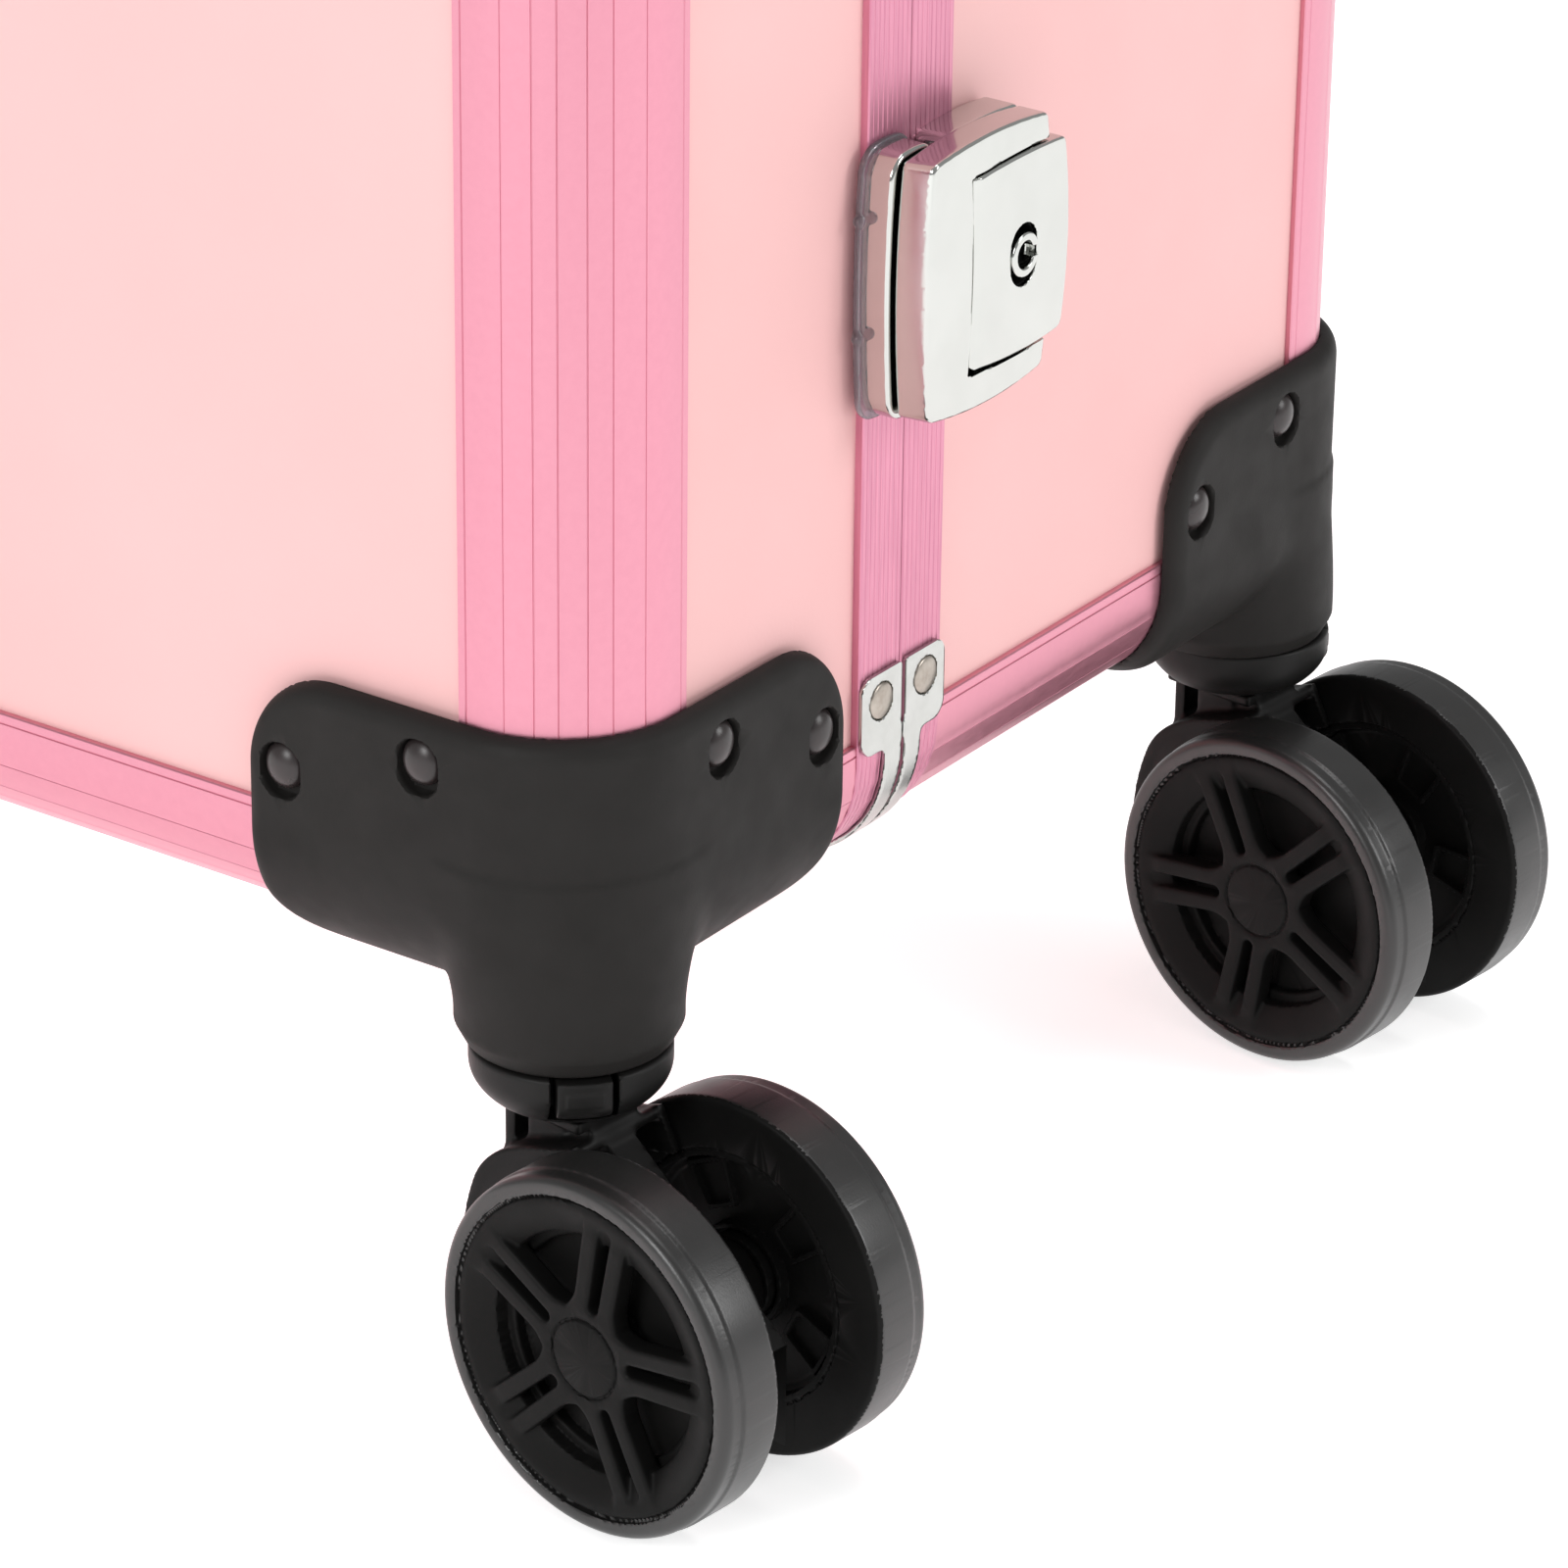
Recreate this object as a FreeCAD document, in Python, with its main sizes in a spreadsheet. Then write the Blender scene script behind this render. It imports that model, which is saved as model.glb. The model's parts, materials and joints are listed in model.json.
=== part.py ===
"""Rolling makeup train case: a lid half and a base half on four twin-wheel casters.

Frame: millimetres, +Z up, origin on the floor under the middle of the case. The lid faces -Y and
the latches are on the +X side. The wheels stand at the outer corners and set the overall width.
"""

import FreeCAD, Part
import math
import os
import re
import Sketcher

DOC = FreeCAD.newDocument("TrainCase")
SHEET = DOC.addObject("Spreadsheet::Sheet", "Sizes")

SIZES = {
    # the case
    "case_width": 400,
    "case_depth": 236,
    "case_height": 560,
    "case_bottom": 80,
    "board_thick": 5,
    "lip_thick": 1.2,
    "lining_inset": 8,
    "lining_thick": 2,
    "front_inset": 13,
    "false_back": 68,
    "shelf_thick": 4,
    # aluminium edge trims and the frame along the seam
    "trim_leg": 26,
    "edge_radius": 22,
    "trim_wall": 7.4,
    "seam_y": -32,
    "seam_width": 12,
    "seam_wall": 8,
    "seam_gap": 0.15,
    # moulded corner guards
    "guard_thick": 4,
    "guard_reach": 68,
    "guard_rise": 54,
    "guard_round": 19,
    "guard_top_round": 18,
    "guard_low_round": 14,
    "guard_flange": 30,
    "rivet_radius": 4,
    "rivet_seat": 4.3,
    "rivet_seat_deep": 1.2,
    "near_rivet": 31.5,
    "near_rivet_rise": 43.7,
    "far_rivet": 60.3,
    "far_rivet_rise": 34.7,
    # casters
    "cup_radius": 18.9,
    "cup_drop": 7.5,
    "caster_inset": 15,
    "plug_radius": 14,
    "collar_radius": 16.8,
    "collar_foot_radius": 13,
    "collar_drop": 17,
    "stem_radius": 5,
    "trail": 25,
    "axle_drop": 48.25,
    "axle_radius": 3,
    "running_gap": 0.05,
    "free_gap": 0.3,
    "wheel_radius": 31.75,
    "wheel_width": 12.25,
    "wheels_span": 49,
    "rim_width": 3.6,
    "rim_proud": 0.8,
    "hub_radius": 8,
    "recess_radius": 25.5,
    "recess_depth": 3.5,
    "fork_width": 18,
    "boss_gap": 1.2,
    "tab_width": 10,
    "tab_height": 6.8,
    "tab_rise": 8.2,
    # key latches
    "latch_rise": 108.4,
    "latch_height": 47,
    "latch_front": -44.5,
    "latch_back": -8.5,
    "slab_depth": 6.5,
    "cover_low": 7.2,
    "cover_high": 13.2,
    "flap_height": 34,
    "flap_pivot_y": -29.5,
    "flap_pivot_out": 11.1,
    "flap_half_thick": 2.5,
    "flap_back": -4.5,
    "key_y": -18.2,
    "key_radius": 3.8,
    # corner clips
    "clip_thick": 1,
    "clip_low": 23.6,
    "clip_high": 38,
    "clip_width": 11.6,
    "strap_width": 4.9,
    "clip_rivet": 3.2,
    # piano hinge
    "hinge_out": 2.6,
    "knuckle_radius": 2.4,
    "pin_radius": 1.2,
    "leaf_thick": 1.2,
    "hinge_start": 60,
    "knuckle_pitch": 44,
    # handles
    "tube_x": 80,
    "tube_y": 80,
    "guide_radius": 9.5,
    "outer_tube_radius": 8,
    "inner_tube_radius": 6.6,
    "tube_wall": 1.1,
    "bezel_thick": 4,
    "bezel_half": 11.5,
    "grip_high": 28,
    "grip_low": 8,
    "carry_y": 5,
    "carry_half": 62,
    "carry_reach": 28,
    "carry_pivot_rise": 9,
    "carry_bar_radius": 8,
    "carry_arm": 6,
    "carry_arm_radius": 5,
    "carry_pin_radius": 3,
    "carry_pin_length": 14,
    "mount_thick": 10,
    "mount_half": 12,
    "mount_foot": 4,
    "ear_radius": 6,
}
for row, (alias, value) in enumerate(SIZES.items(), start=1):
    SHEET.set(f"A{row}", alias)
    SHEET.set(f"B{row}", str(value))
    SHEET.setAlias(f"B{row}", alias)
DOC.recompute()

NAMES = re.compile(r"\b(" + "|".join(sorted(SIZES, key=len, reverse=True)) + r")\b")
AXES = {"x": FreeCAD.Vector(1, 0, 0), "y": FreeCAD.Vector(0, 1, 0), "z": FreeCAD.Vector(0, 0, 1)}
LENGTHS = {"x": "Length", "y": "Width", "z": "Height"}
TURNS = {
    "x": FreeCAD.Rotation(AXES["y"], 90),
    "y": FreeCAD.Rotation(AXES["x"], -90),
    "z": FreeCAD.Rotation(),
}
SIDE = "case_width / 2"
FRONT = "-case_depth / 2"
BACK = "case_depth / 2"
BOTTOM = "case_bottom"
TOP = "(case_bottom + case_height)"
MIDDLE = "(case_bottom + case_height / 2)"
CASTERS = {
    "front_right": (1, -1),
    "front_left": (-1, -1),
    "rear_right": (1, 1),
    "rear_left": (-1, 1),
}
CASTER_TURN = -6.3  # degrees the casters on the right are swivelled from +X


# ---------------------------------------------------------------- building blocks
def bind(thing, prop, formula):
    """Ties a property to a formula of the sheet's names."""
    thing.setExpression(prop, NAMES.sub(r"Sizes.\g<0>", str(formula)))


def value_of(formula):
    """What a formula of the sheet's names comes to now."""
    return float(SHEET.evalExpression(NAMES.sub(r"Sizes.\g<0>", str(formula))))


def place(thing, x=None, y=None, z=None):
    """Ties the position of an object to formulas."""
    for axis, formula in (("x", x), ("y", y), ("z", z)):
        if formula is not None:
            bind(thing, "Placement.Base." + axis, formula)
    return thing


def box(name, x, y, z):
    """A block, given its (low, high) formulas along each axis."""
    solid = DOC.addObject("Part::Box", name)
    for axis, (low, high) in (("x", x), ("y", y), ("z", z)):
        bind(solid, LENGTHS[axis], f"({high}) - ({low})")
        bind(solid, "Placement.Base." + axis, low)
    return solid


def rod(name, radius, along, x, y, z):
    """A cylinder. The axis it runs along has a (low, high) pair, the others a centre."""
    solid = DOC.addObject("Part::Cylinder", name)
    solid.Placement = FreeCAD.Placement(FreeCAD.Vector(), TURNS[along])
    bind(solid, "Radius", radius)
    for axis, formula in (("x", x), ("y", y), ("z", z)):
        if axis == along:
            low, high = formula
            bind(solid, "Height", f"({high}) - ({low})")
            formula = low
        bind(solid, "Placement.Base." + axis, formula)
    return solid


def fuse(name, *shapes):
    joined = DOC.addObject("Part::MultiFuse", name)
    joined.Shapes = list(shapes)
    return joined


def common(name, *shapes):
    kept = DOC.addObject("Part::MultiCommon", name)
    kept.Shapes = list(shapes)
    return kept


def cut(name, base, *tools):
    rest = DOC.addObject("Part::Cut", name)
    rest.Base = base
    rest.Tool = tools[0] if len(tools) == 1 else fuse(name + "_tools", *tools)
    return rest


def group(name, *shapes):
    """Several separate solids that share one node."""
    together = DOC.addObject("Part::Compound", name)
    together.Links = list(shapes)
    return together


def mirror(name, source, *axes):
    """A copy mirrored in the case's own middle planes, one after another."""
    for axis in axes:
        copy = DOC.addObject("Part::Mirroring", f"{name}_{axis}")
        copy.Source = source
        copy.Normal = AXES[axis]
        if axis == "z":
            bind(copy, "Base.z", MIDDLE)
        source = copy
    return source


def fillet(name, base, chosen):
    """Rounds the edges of a block. chosen(edge) gives an edge's radius, or 0."""
    DOC.recompute()
    rounded = DOC.addObject("Part::Fillet", name)
    rounded.Base = base
    radii = [(index, chosen(edge)) for index, edge in enumerate(base.Shape.Edges, start=1)]
    rounded.Edges = [(index, radius, radius) for index, radius in radii if radius]
    return rounded


def runs_along(edge, axis):
    return abs(edge.tangentAt(edge.FirstParameter).dot(AXES[axis])) > 0.99


def closed_sketch(body, name, plane, points):
    """A closed polygon on one of the body's own planes, each corner tied to its two formulas."""
    sketch = body.newObject("Sketcher::SketchObject", name)
    planes = {feature.Role: feature for feature in body.Origin.OriginFeatures}
    sketch.AttachmentSupport = [(planes[plane], "")]
    sketch.MapMode = "FlatFace"
    spots = [tuple(value_of(formula) for formula in point) for point in points]
    for index, spot in enumerate(spots):
        after = spots[(index + 1) % len(spots)]
        sketch.addGeometry(Part.LineSegment(FreeCAD.Vector(*spot, 0), FreeCAD.Vector(*after, 0)))
    for index in range(len(spots)):
        following = (index + 1) % len(spots)
        sketch.addConstraint(Sketcher.Constraint("Coincident", index, 2, following, 1))
    for index, (spot, point) in enumerate(zip(spots, points)):
        for kind, axis_line, value, formula in (
            ("DistanceX", -2, spot[0], point[0]),
            ("DistanceY", -1, spot[1], point[1]),
        ):
            if value == 0:
                sketch.addConstraint(Sketcher.Constraint("PointOnObject", index, 1, axis_line))
                continue
            number = sketch.addConstraint(Sketcher.Constraint(kind, -1, 1, index, 1, value))
            bind(sketch, f"Constraints[{number}]", formula)
    return sketch


def revolved(name, outline):
    """A turned piece about Z, given its (radius, height) outline."""
    body = DOC.addObject("PartDesign::Body", name)
    sketch = closed_sketch(body, name + "_outline", "XZ_Plane", outline)
    turn = body.newObject("PartDesign::Revolution", name + "_turn")
    turn.Profile = sketch
    turn.ReferenceAxis = (sketch, ["V_Axis"])
    turn.Angle = 360
    return body


def padded(name, plane, outline, length):
    """A flat piece of an outline, padded evenly to both sides of its plane."""
    body = DOC.addObject("PartDesign::Body", name)
    sketch = closed_sketch(body, name + "_outline", plane, outline)
    pad = body.newObject("PartDesign::Pad", name + "_pad")
    pad.Profile = sketch
    pad.Midplane = True
    bind(pad, "Length", length)
    return body


PARTS = {}


def part(name, thing):
    """Gives a finished sub-part its own label, which names its node."""
    thing.Label = name
    PARTS[name] = thing
    return thing


# ---------------------------------------------------------------- boards, lining and shelves
BOARD = ("lip_thick", "lip_thick + board_thick")
BOARD_HEIGHT = (f"{BOTTOM} + edge_radius", f"{TOP} - edge_radius")
BOARD_WIDTH = (f"-({SIDE} - edge_radius)", f"{SIDE} - edge_radius")


def wall_boards(half, low, high, rivets, holed):
    """The four boards around one half, from the seam frame to the far trims, drilled for rivets."""
    side_x = (f"{SIDE} - ({BOARD[1]})", f"{SIDE} - ({BOARD[0]})")
    right = box(half + "_right_board", side_x, (low, high), BOARD_HEIGHT)
    floor_z = (f"{BOTTOM} + {BOARD[0]}", f"{BOTTOM} + {BOARD[1]}")
    floor = box(half + "_bottom_board", BOARD_WIDTH, (low, high), floor_z)
    top_z = (f"{TOP} - ({BOARD[1]})", f"{TOP} - {BOARD[0]}")
    top = box(half + "_top_board", BOARD_WIDTH, (low, high), top_z)
    if holed:
        top = cut(half + "_top_board_cut", top, *tube_holes(half + "_tube_hole", "guide_radius", top_z))
    left = mirror(half + "_left_board", right, "x")
    boards = group(half + "_boards", right, left, floor, top)
    part(half + "_wall_panels", cut(half + "_walls", boards, rivets))


def lining(half, span_y, back_y):
    """Five thin boards that line one half and leave it open towards the seam."""
    inner = "lining_inset + lining_thick"
    wide = (f"-({SIDE} - lining_inset)", f"{SIDE} - lining_inset")
    tall = (f"{BOTTOM} + {inner}", f"{TOP} - ({inner})")
    floor_z = (f"{BOTTOM} + lining_inset", f"{BOTTOM} + {inner}")
    side_x = (f"{SIDE} - ({inner})", f"{SIDE} - lining_inset")
    between = (f"-({SIDE} - ({inner}))", f"{SIDE} - ({inner})")
    floor = box(half + "_liner_floor", wide, span_y, floor_z)
    side = box(half + "_liner_side", side_x, span_y, tall)
    boards = [
        floor,
        mirror(half + "_liner_top", floor, "z"),
        side,
        mirror(half + "_liner_left", side, "x"),
        box(half + "_liner_back", between, back_y, tall),
    ]
    part(half + "_lining", group(half + "_liner", *boards))


def make_boards():
    lid_rivets = PARTS["lid_guard_rivets"]
    base_rivets = PARTS["base_guard_rivets"]
    front_y = (f"{FRONT} + {BOARD[0]}", f"{FRONT} + {BOARD[1]}")
    front = box("front_board", BOARD_WIDTH, front_y, BOARD_HEIGHT)
    part("lid_front_panel", cut("front_drilled", front, lid_rivets))
    back_y = (f"{BACK} - ({BOARD[1]})", f"{BACK} - {BOARD[0]}")
    back = box("back_board", BOARD_WIDTH, back_y, BOARD_HEIGHT)
    part("base_back_panel", cut("back_drilled", back, base_rivets))
    wall_boards("lid", f"{FRONT} + edge_radius", "seam_y - seam_width", lid_rivets, False)
    wall_boards("base", "seam_y + seam_width", f"{BACK} - edge_radius", base_rivets, True)
    lid_front = f"{FRONT} + front_inset"
    lining("lid", (lid_front, "seam_y - seam_gap"), (lid_front, f"{lid_front} + lining_thick"))
    lining("base", ("seam_y + seam_gap", "false_back"), ("false_back - lining_thick", "false_back"))


def make_shelves():
    room_x = f"{SIDE} - lining_inset - lining_thick"
    shelves = []
    for number, share in enumerate((0.3, 0.55, 0.8), start=1):
        low = f"{BOTTOM} + case_height * {share}"
        shelves.append(
            box(
                f"shelf_{number}",
                (f"-({room_x})", room_x),
                ("seam_y + seam_width", "false_back - lining_thick"),
                (low, f"{low} + shelf_thick"),
            )
        )
    part("base_shelves", group("shelves", *shelves))


# ---------------------------------------------------------------- aluminium trims and seam frame
def inward(corner, sign, near, far):
    """The (low, high) span between two distances inward from a corner plane."""
    if sign > 0:
        return f"{corner} + {near}", f"{corner} + {far}"
    return f"{corner} - ({far})", f"{corner} - ({near})"


def trim(name, along, span, corners):
    """A quarter-round extrusion along one edge. corners: {axis: (corner plane, inward sign)}."""

    def spans(near, far):
        """The spans of a block whose two cross axes have these (near, far) distances."""
        found = {along: span}
        for (axis, (corner, sign)), distances in zip(corners.items(), (near, far)):
            found[axis] = inward(corner, sign, *distances)
        return found

    whole = box(name + "_block", **spans((0, "trim_leg"), (0, "trim_leg")))
    square = box(name + "_corner", **spans((0, "edge_radius"), (0, "edge_radius")))
    centre = {along: span}
    for axis, (corner, sign) in corners.items():
        centre[axis] = f"{corner} + edge_radius * {sign}"
    waste = cut(name + "_waste", square, rod(name + "_round", "edge_radius", along, **centre))
    beyond = ("trim_wall", "trim_leg + 1")
    inside = box(name + "_inside", **spans(beyond, beyond))
    slot_run = ("edge_radius", "trim_leg + 1")
    slots = [
        box(name + "_slot_a", **spans(slot_run, BOARD)),
        box(name + "_slot_b", **spans(BOARD, slot_run)),
    ]
    return cut(name, whole, waste, inside, *slots)


def trims(half, face, face_sign, seam_side):
    """The eight trims of one half: four around its face and four from there to the seam."""
    clear = "trim_leg + 0.5"
    bottom_corner = {"y": (face, face_sign), "z": (BOTTOM, 1)}
    right_corner = {"x": (SIDE, -1), "y": (face, face_sign)}
    depth_corner = {"x": (SIDE, -1), "z": (BOTTOM, 1)}
    upright_span = (f"{BOTTOM} + {clear}", f"{TOP} - ({clear})")
    upright = trim(half + "_upright", "z", upright_span, right_corner)
    cross_span = (f"-({SIDE} - ({clear}))", f"{SIDE} - ({clear})")
    cross = trim(half + "_cross", "x", cross_span, bottom_corner)
    ends = (f"{face} + ({clear}) * {face_sign}", seam_side)
    depth_span = ends if face_sign > 0 else ends[::-1]
    depth = trim(half + "_depth", "y", depth_span, depth_corner)
    return group(
        half + "_trims",
        upright,
        mirror(half + "_upright_left", upright, "x"),
        cross,
        mirror(half + "_cross_top", cross, "z"),
        depth,
        mirror(half + "_depth_left", depth, "x"),
        mirror(half + "_depth_top", depth, "z"),
        mirror(half + "_depth_top_left", depth, "x", "z"),
    )


def seam_frame(half, low, high):
    """A ring around the case beside the seam, rounded like the edges."""
    block = box(half + "_ring_block", (f"-{SIDE}", SIDE), (low, high), (BOTTOM, TOP))
    ring = fillet(
        half + "_ring_round", block, lambda edge: SIZES["edge_radius"] if runs_along(edge, "y") else 0
    )
    room = box(
        half + "_ring_room",
        (f"-({SIDE} - seam_wall)", f"{SIDE} - seam_wall"),
        (f"{low} - 1", f"{high} + 1"),
        (f"{BOTTOM} + seam_wall", f"{TOP} - seam_wall"),
    )
    part(half + "_seam_frame", cut(half + "_ring", ring, room))


def make_frames():
    part("lid_edge_trims", trims("lid", FRONT, 1, "seam_y - seam_width"))
    part("base_edge_trims", trims("base", BACK, -1, "seam_y + seam_width"))
    seam_frame("lid", "seam_y - seam_width", "seam_y - seam_gap")
    seam_frame("base", "seam_y + seam_gap", "seam_y + seam_width")


# ---------------------------------------------------------------- corner guards and clips
def corner_block(name, low, reach, radius):
    """A block at the lid's lower right corner with its three outer edges rounded."""
    block = box(
        name + "_block",
        (f"{SIDE} - {reach}", f"{SIDE} - ({low})"),
        (f"{FRONT} + {low}", f"{FRONT} + {reach}"),
        (f"{BOTTOM} + {low}", f"{BOTTOM} + {reach}"),
    )
    DOC.recompute()
    bounds = block.Shape.BoundBox
    corner = FreeCAD.Vector(bounds.XMax, bounds.YMin, bounds.ZMin)

    def chosen(edge):
        touches = any(vertex.Point.distanceToPoint(corner) < 0.01 for vertex in edge.Vertexes)
        return radius if touches else 0

    return fillet(name, block, chosen)


def arm_prism(name, axis):
    """The outline of one guard arm, rounded at its free end, run through the other arm."""
    reach = "guard_reach"
    spans = {
        "x": (f"{SIDE} - {reach}", f"{SIDE} + guard_thick + 1"),
        "y": (f"{FRONT} - guard_thick - 1", f"{FRONT} + {reach}"),
        "z": (f"{BOTTOM} - guard_thick", f"{BOTTOM} + guard_rise"),
    }
    block = box(name + "_block", **spans)
    DOC.recompute()
    bounds = block.Shape.BoundBox
    end = bounds.XMin if axis == "x" else bounds.YMax
    across = "y" if axis == "x" else "x"

    def chosen(edge):
        centre = edge.CenterOfMass
        at = centre.x if axis == "x" else centre.y
        if not runs_along(edge, across) or abs(at - end) > 0.01:
            return 0
        high = centre.z > bounds.Center.z
        return SIZES["guard_top_round"] if high else SIZES["guard_low_round"]

    return fillet(name, block, chosen)


RIVET_SPOTS = (("near_rivet", "near_rivet_rise"), ("far_rivet", "far_rivet_rise"))


def guard_rods(name, radius, depth_from, depth_to):
    """Rods square to both arms at the four rivet places."""
    rods = []
    for reach, rise in RIVET_SPOTS:
        height = f"{BOTTOM} + {rise}"
        across = (f"{FRONT} + ({depth_from})", f"{FRONT} + ({depth_to})")
        rods.append(rod(f"{name}_{reach}_front", radius, "y", f"{SIDE} - {reach}", across, height))
        across = (f"{SIDE} - ({depth_to})", f"{SIDE} - ({depth_from})")
        rods.append(rod(f"{name}_{reach}_side", radius, "x", across, f"{FRONT} + {reach}", height))
    return rods


def guard(name, with_cup):
    """The guard of the lid's lower right corner, with or without a caster cup."""
    outer = corner_block(name + "_outer", "-guard_thick", "(guard_reach + 4)", SIZES["guard_round"])
    arms = [arm_prism(f"{name}_arm_{axis}", axis) for axis in ("x", "y")]
    body = common(name + "_shape", outer, *arms)
    centre_x = f"{SIDE} - caster_inset"
    centre_y = f"{FRONT} + caster_inset"
    cup_low = f"{BOTTOM} - cup_drop"
    if with_cup:
        cup = rod(name + "_cup", "cup_radius", "z", centre_x, centre_y, (cup_low, f"{BOTTOM} + 20"))
        body = fuse(name + "_with_cup", body, cup)
    room = corner_block(name + "_room", "0", "(guard_reach + 20)", SIZES["edge_radius"])
    under = box(
        name + "_under",
        (f"{SIDE} - guard_reach - 10", f"{SIDE} - guard_flange - 5"),
        (f"{FRONT} + guard_flange + 5", f"{FRONT} + guard_reach + 10"),
        (f"{BOTTOM} - guard_thick - 1", f"{BOTTOM} + 1"),
    )
    seat_floor = "-guard_thick + rivet_seat_deep"
    seats = guard_rods(name + "_seat", "rivet_seat", "-guard_thick - 1", seat_floor)
    holes = guard_rods(name + "_hole", "rivet_radius / 2", "-guard_thick - 1", "guard_thick")
    tools = [room, under, *seats, *holes]
    if with_cup:
        bore_z = (f"{cup_low} - 1", f"{BOTTOM} + 0.5")
        bore = rod(name + "_bore", "plug_radius + running_gap", "z", centre_x, centre_y, bore_z)
        tools.append(bore)
    return cut(name, body, *tools)


def guard_rivets(name):
    """Four black rivets on one guard, their heads just below its faces."""
    seat_floor = "-guard_thick + rivet_seat_deep"
    heads = guard_rods(name + "_head", "rivet_radius", "-guard_thick + 0.05", seat_floor)
    shanks = guard_rods(name + "_shank", "rivet_radius / 2", seat_floor, BOARD[1])
    return [fuse(f"{name}_{number}", *pair) for number, pair in enumerate(zip(heads, shanks), start=1)]


def copies(name, source, *axes):
    """One source and its left twin, both mirrored in the axes first."""
    first = mirror(name + "_first", source, *axes) if axes else source
    return [first, mirror(name + "_twin", first, "x")]


def make_guards():
    low = guard("guard", True)
    high = guard("cap", False)
    part("lid_bottom_guards", group("lid_low_guards", *copies("lid_low", low)))
    part("base_bottom_guards", group("base_low_guards", *copies("base_low", low, "y")))
    part("lid_top_guards", group("lid_high_guards", *copies("lid_high", high, "z")))
    part("base_top_guards", group("base_high_guards", *copies("base_high", high, "y", "z")))
    rivets = group("rivet_set", *guard_rivets("rivet"))
    lid_sets = copies("lid_rivets_low", rivets) + copies("lid_rivets_high", rivets, "z")
    part("lid_guard_rivets", group("lid_rivet_sets", *lid_sets))
    base_sets = copies("base_rivets_low", rivets, "y") + copies("base_rivets_high", rivets, "y", "z")
    part("base_guard_rivets", group("base_rivet_sets", *base_sets))


def clip(name, sign):
    """A silver clip beside the lower end of the seam on the right side, with its rivet."""
    start = f"seam_y + 0.6 * {sign}"
    plate_y = (start, f"{start} + clip_width * {sign}")
    strap_y = (start, f"{start} + strap_width * {sign}")
    if sign < 0:
        plate_y, strap_y = plate_y[::-1], strap_y[::-1]
    outside = (SIDE, f"{SIDE} + clip_thick")
    plate = box(name + "_plate", outside, plate_y, (f"{BOTTOM} + clip_low", f"{BOTTOM} + clip_high"))
    centre = (f"{SIDE} - edge_radius", f"{BOTTOM} + edge_radius")
    disc = rod(name + "_bend_out", "edge_radius + clip_thick", "y", centre[0], strap_y, centre[1])
    core = rod(name + "_bend_in", "edge_radius", "y", centre[0], strap_y, centre[1])
    quarter = box(
        name + "_quarter",
        (centre[0], f"{SIDE} + 2"),
        strap_y,
        (f"{BOTTOM} - 2", centre[1]),
    )
    bend = common(name + "_bend", cut(name + "_tube", disc, core), quarter)
    link = box(name + "_link", outside, strap_y, (centre[1], f"{BOTTOM} + clip_low + 1"))
    foot = box(
        name + "_foot",
        (f"{centre[0]} - 12", centre[0]),
        strap_y,
        (f"{BOTTOM} - clip_thick", BOTTOM),
    )
    middle_y = f"({plate_y[0]} + {plate_y[1]}) / 2"
    middle_z = f"{BOTTOM} + (clip_low + clip_high) / 2 + 2"
    head = rod(
        name + "_rivet",
        "clip_rivet",
        "x",
        (f"{SIDE} + clip_thick", f"{SIDE} + clip_thick + 0.9"),
        middle_y,
        middle_z,
    )
    sheet_part = fuse(name + "_sheet", plate, link, bend, foot)
    return [sheet_part, head]


def make_clips():
    for half, sign in (("lid", -1), ("base", 1)):
        pieces = group(half + "_clip_set", *clip(half + "_clip", sign))
        low = copies(half + "_clips_low", pieces)
        high = copies(half + "_clips_high", pieces, "z")
        part(half + "_corner_clips", group(half + "_clips", *low, *high))


# ---------------------------------------------------------------- piano hinge
def make_hinge():
    """Two leaves whose knuckles take turns on one long pin, on the left side."""
    pin_x = f"-({SIDE} + hinge_out)"
    leaf_x = (f"-{SIDE} - leaf_thick - 0.1", f"-{SIDE} - 0.1")
    count = 10
    start = f"{BOTTOM} + hinge_start"
    top = f"{start} + knuckle_pitch * {count}"
    pin = rod("long_pin", "pin_radius", "z", pin_x, "seam_y", (start, top))
    part("hinge_pin", pin)
    for half, sign, first in (("base", 1, 0), ("lid", -1, 1)):
        near = f"seam_y + 2.8 * {sign}"
        far = f"seam_y + seam_width * {sign}"
        leaf_y = (near, far) if sign > 0 else (far, near)
        pieces = [box(half + "_leaf_plate", leaf_x, leaf_y, (start, top))]
        reach_y = ("seam_y", near) if sign > 0 else (near, "seam_y")
        bore = "pin_radius + running_gap" if half == "lid" else "pin_radius"
        for number in range(first, count, 2):
            low = f"{start} + knuckle_pitch * {number} + 0.5"
            span = (low, f"{low} + knuckle_pitch - 1")
            pieces.append(rod(f"{half}_knuckle_{number}", "knuckle_radius", "z", pin_x, "seam_y", span))
            pieces.append(box(f"{half}_lug_{number}", leaf_x, reach_y, span))
        hole = rod(half + "_pin_hole", bore, "z", pin_x, "seam_y", (f"{start} - 1", f"{top} + 1"))
        leaf = cut(half + "_leaf", fuse(half + "_leaf_blank", *pieces), hole)
        part(f"hinge_{half}_leaf", leaf)


# ---------------------------------------------------------------- key latches
def outside(low, high):
    return f"{SIDE} + {low}", f"{SIDE} + {high}"


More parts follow.
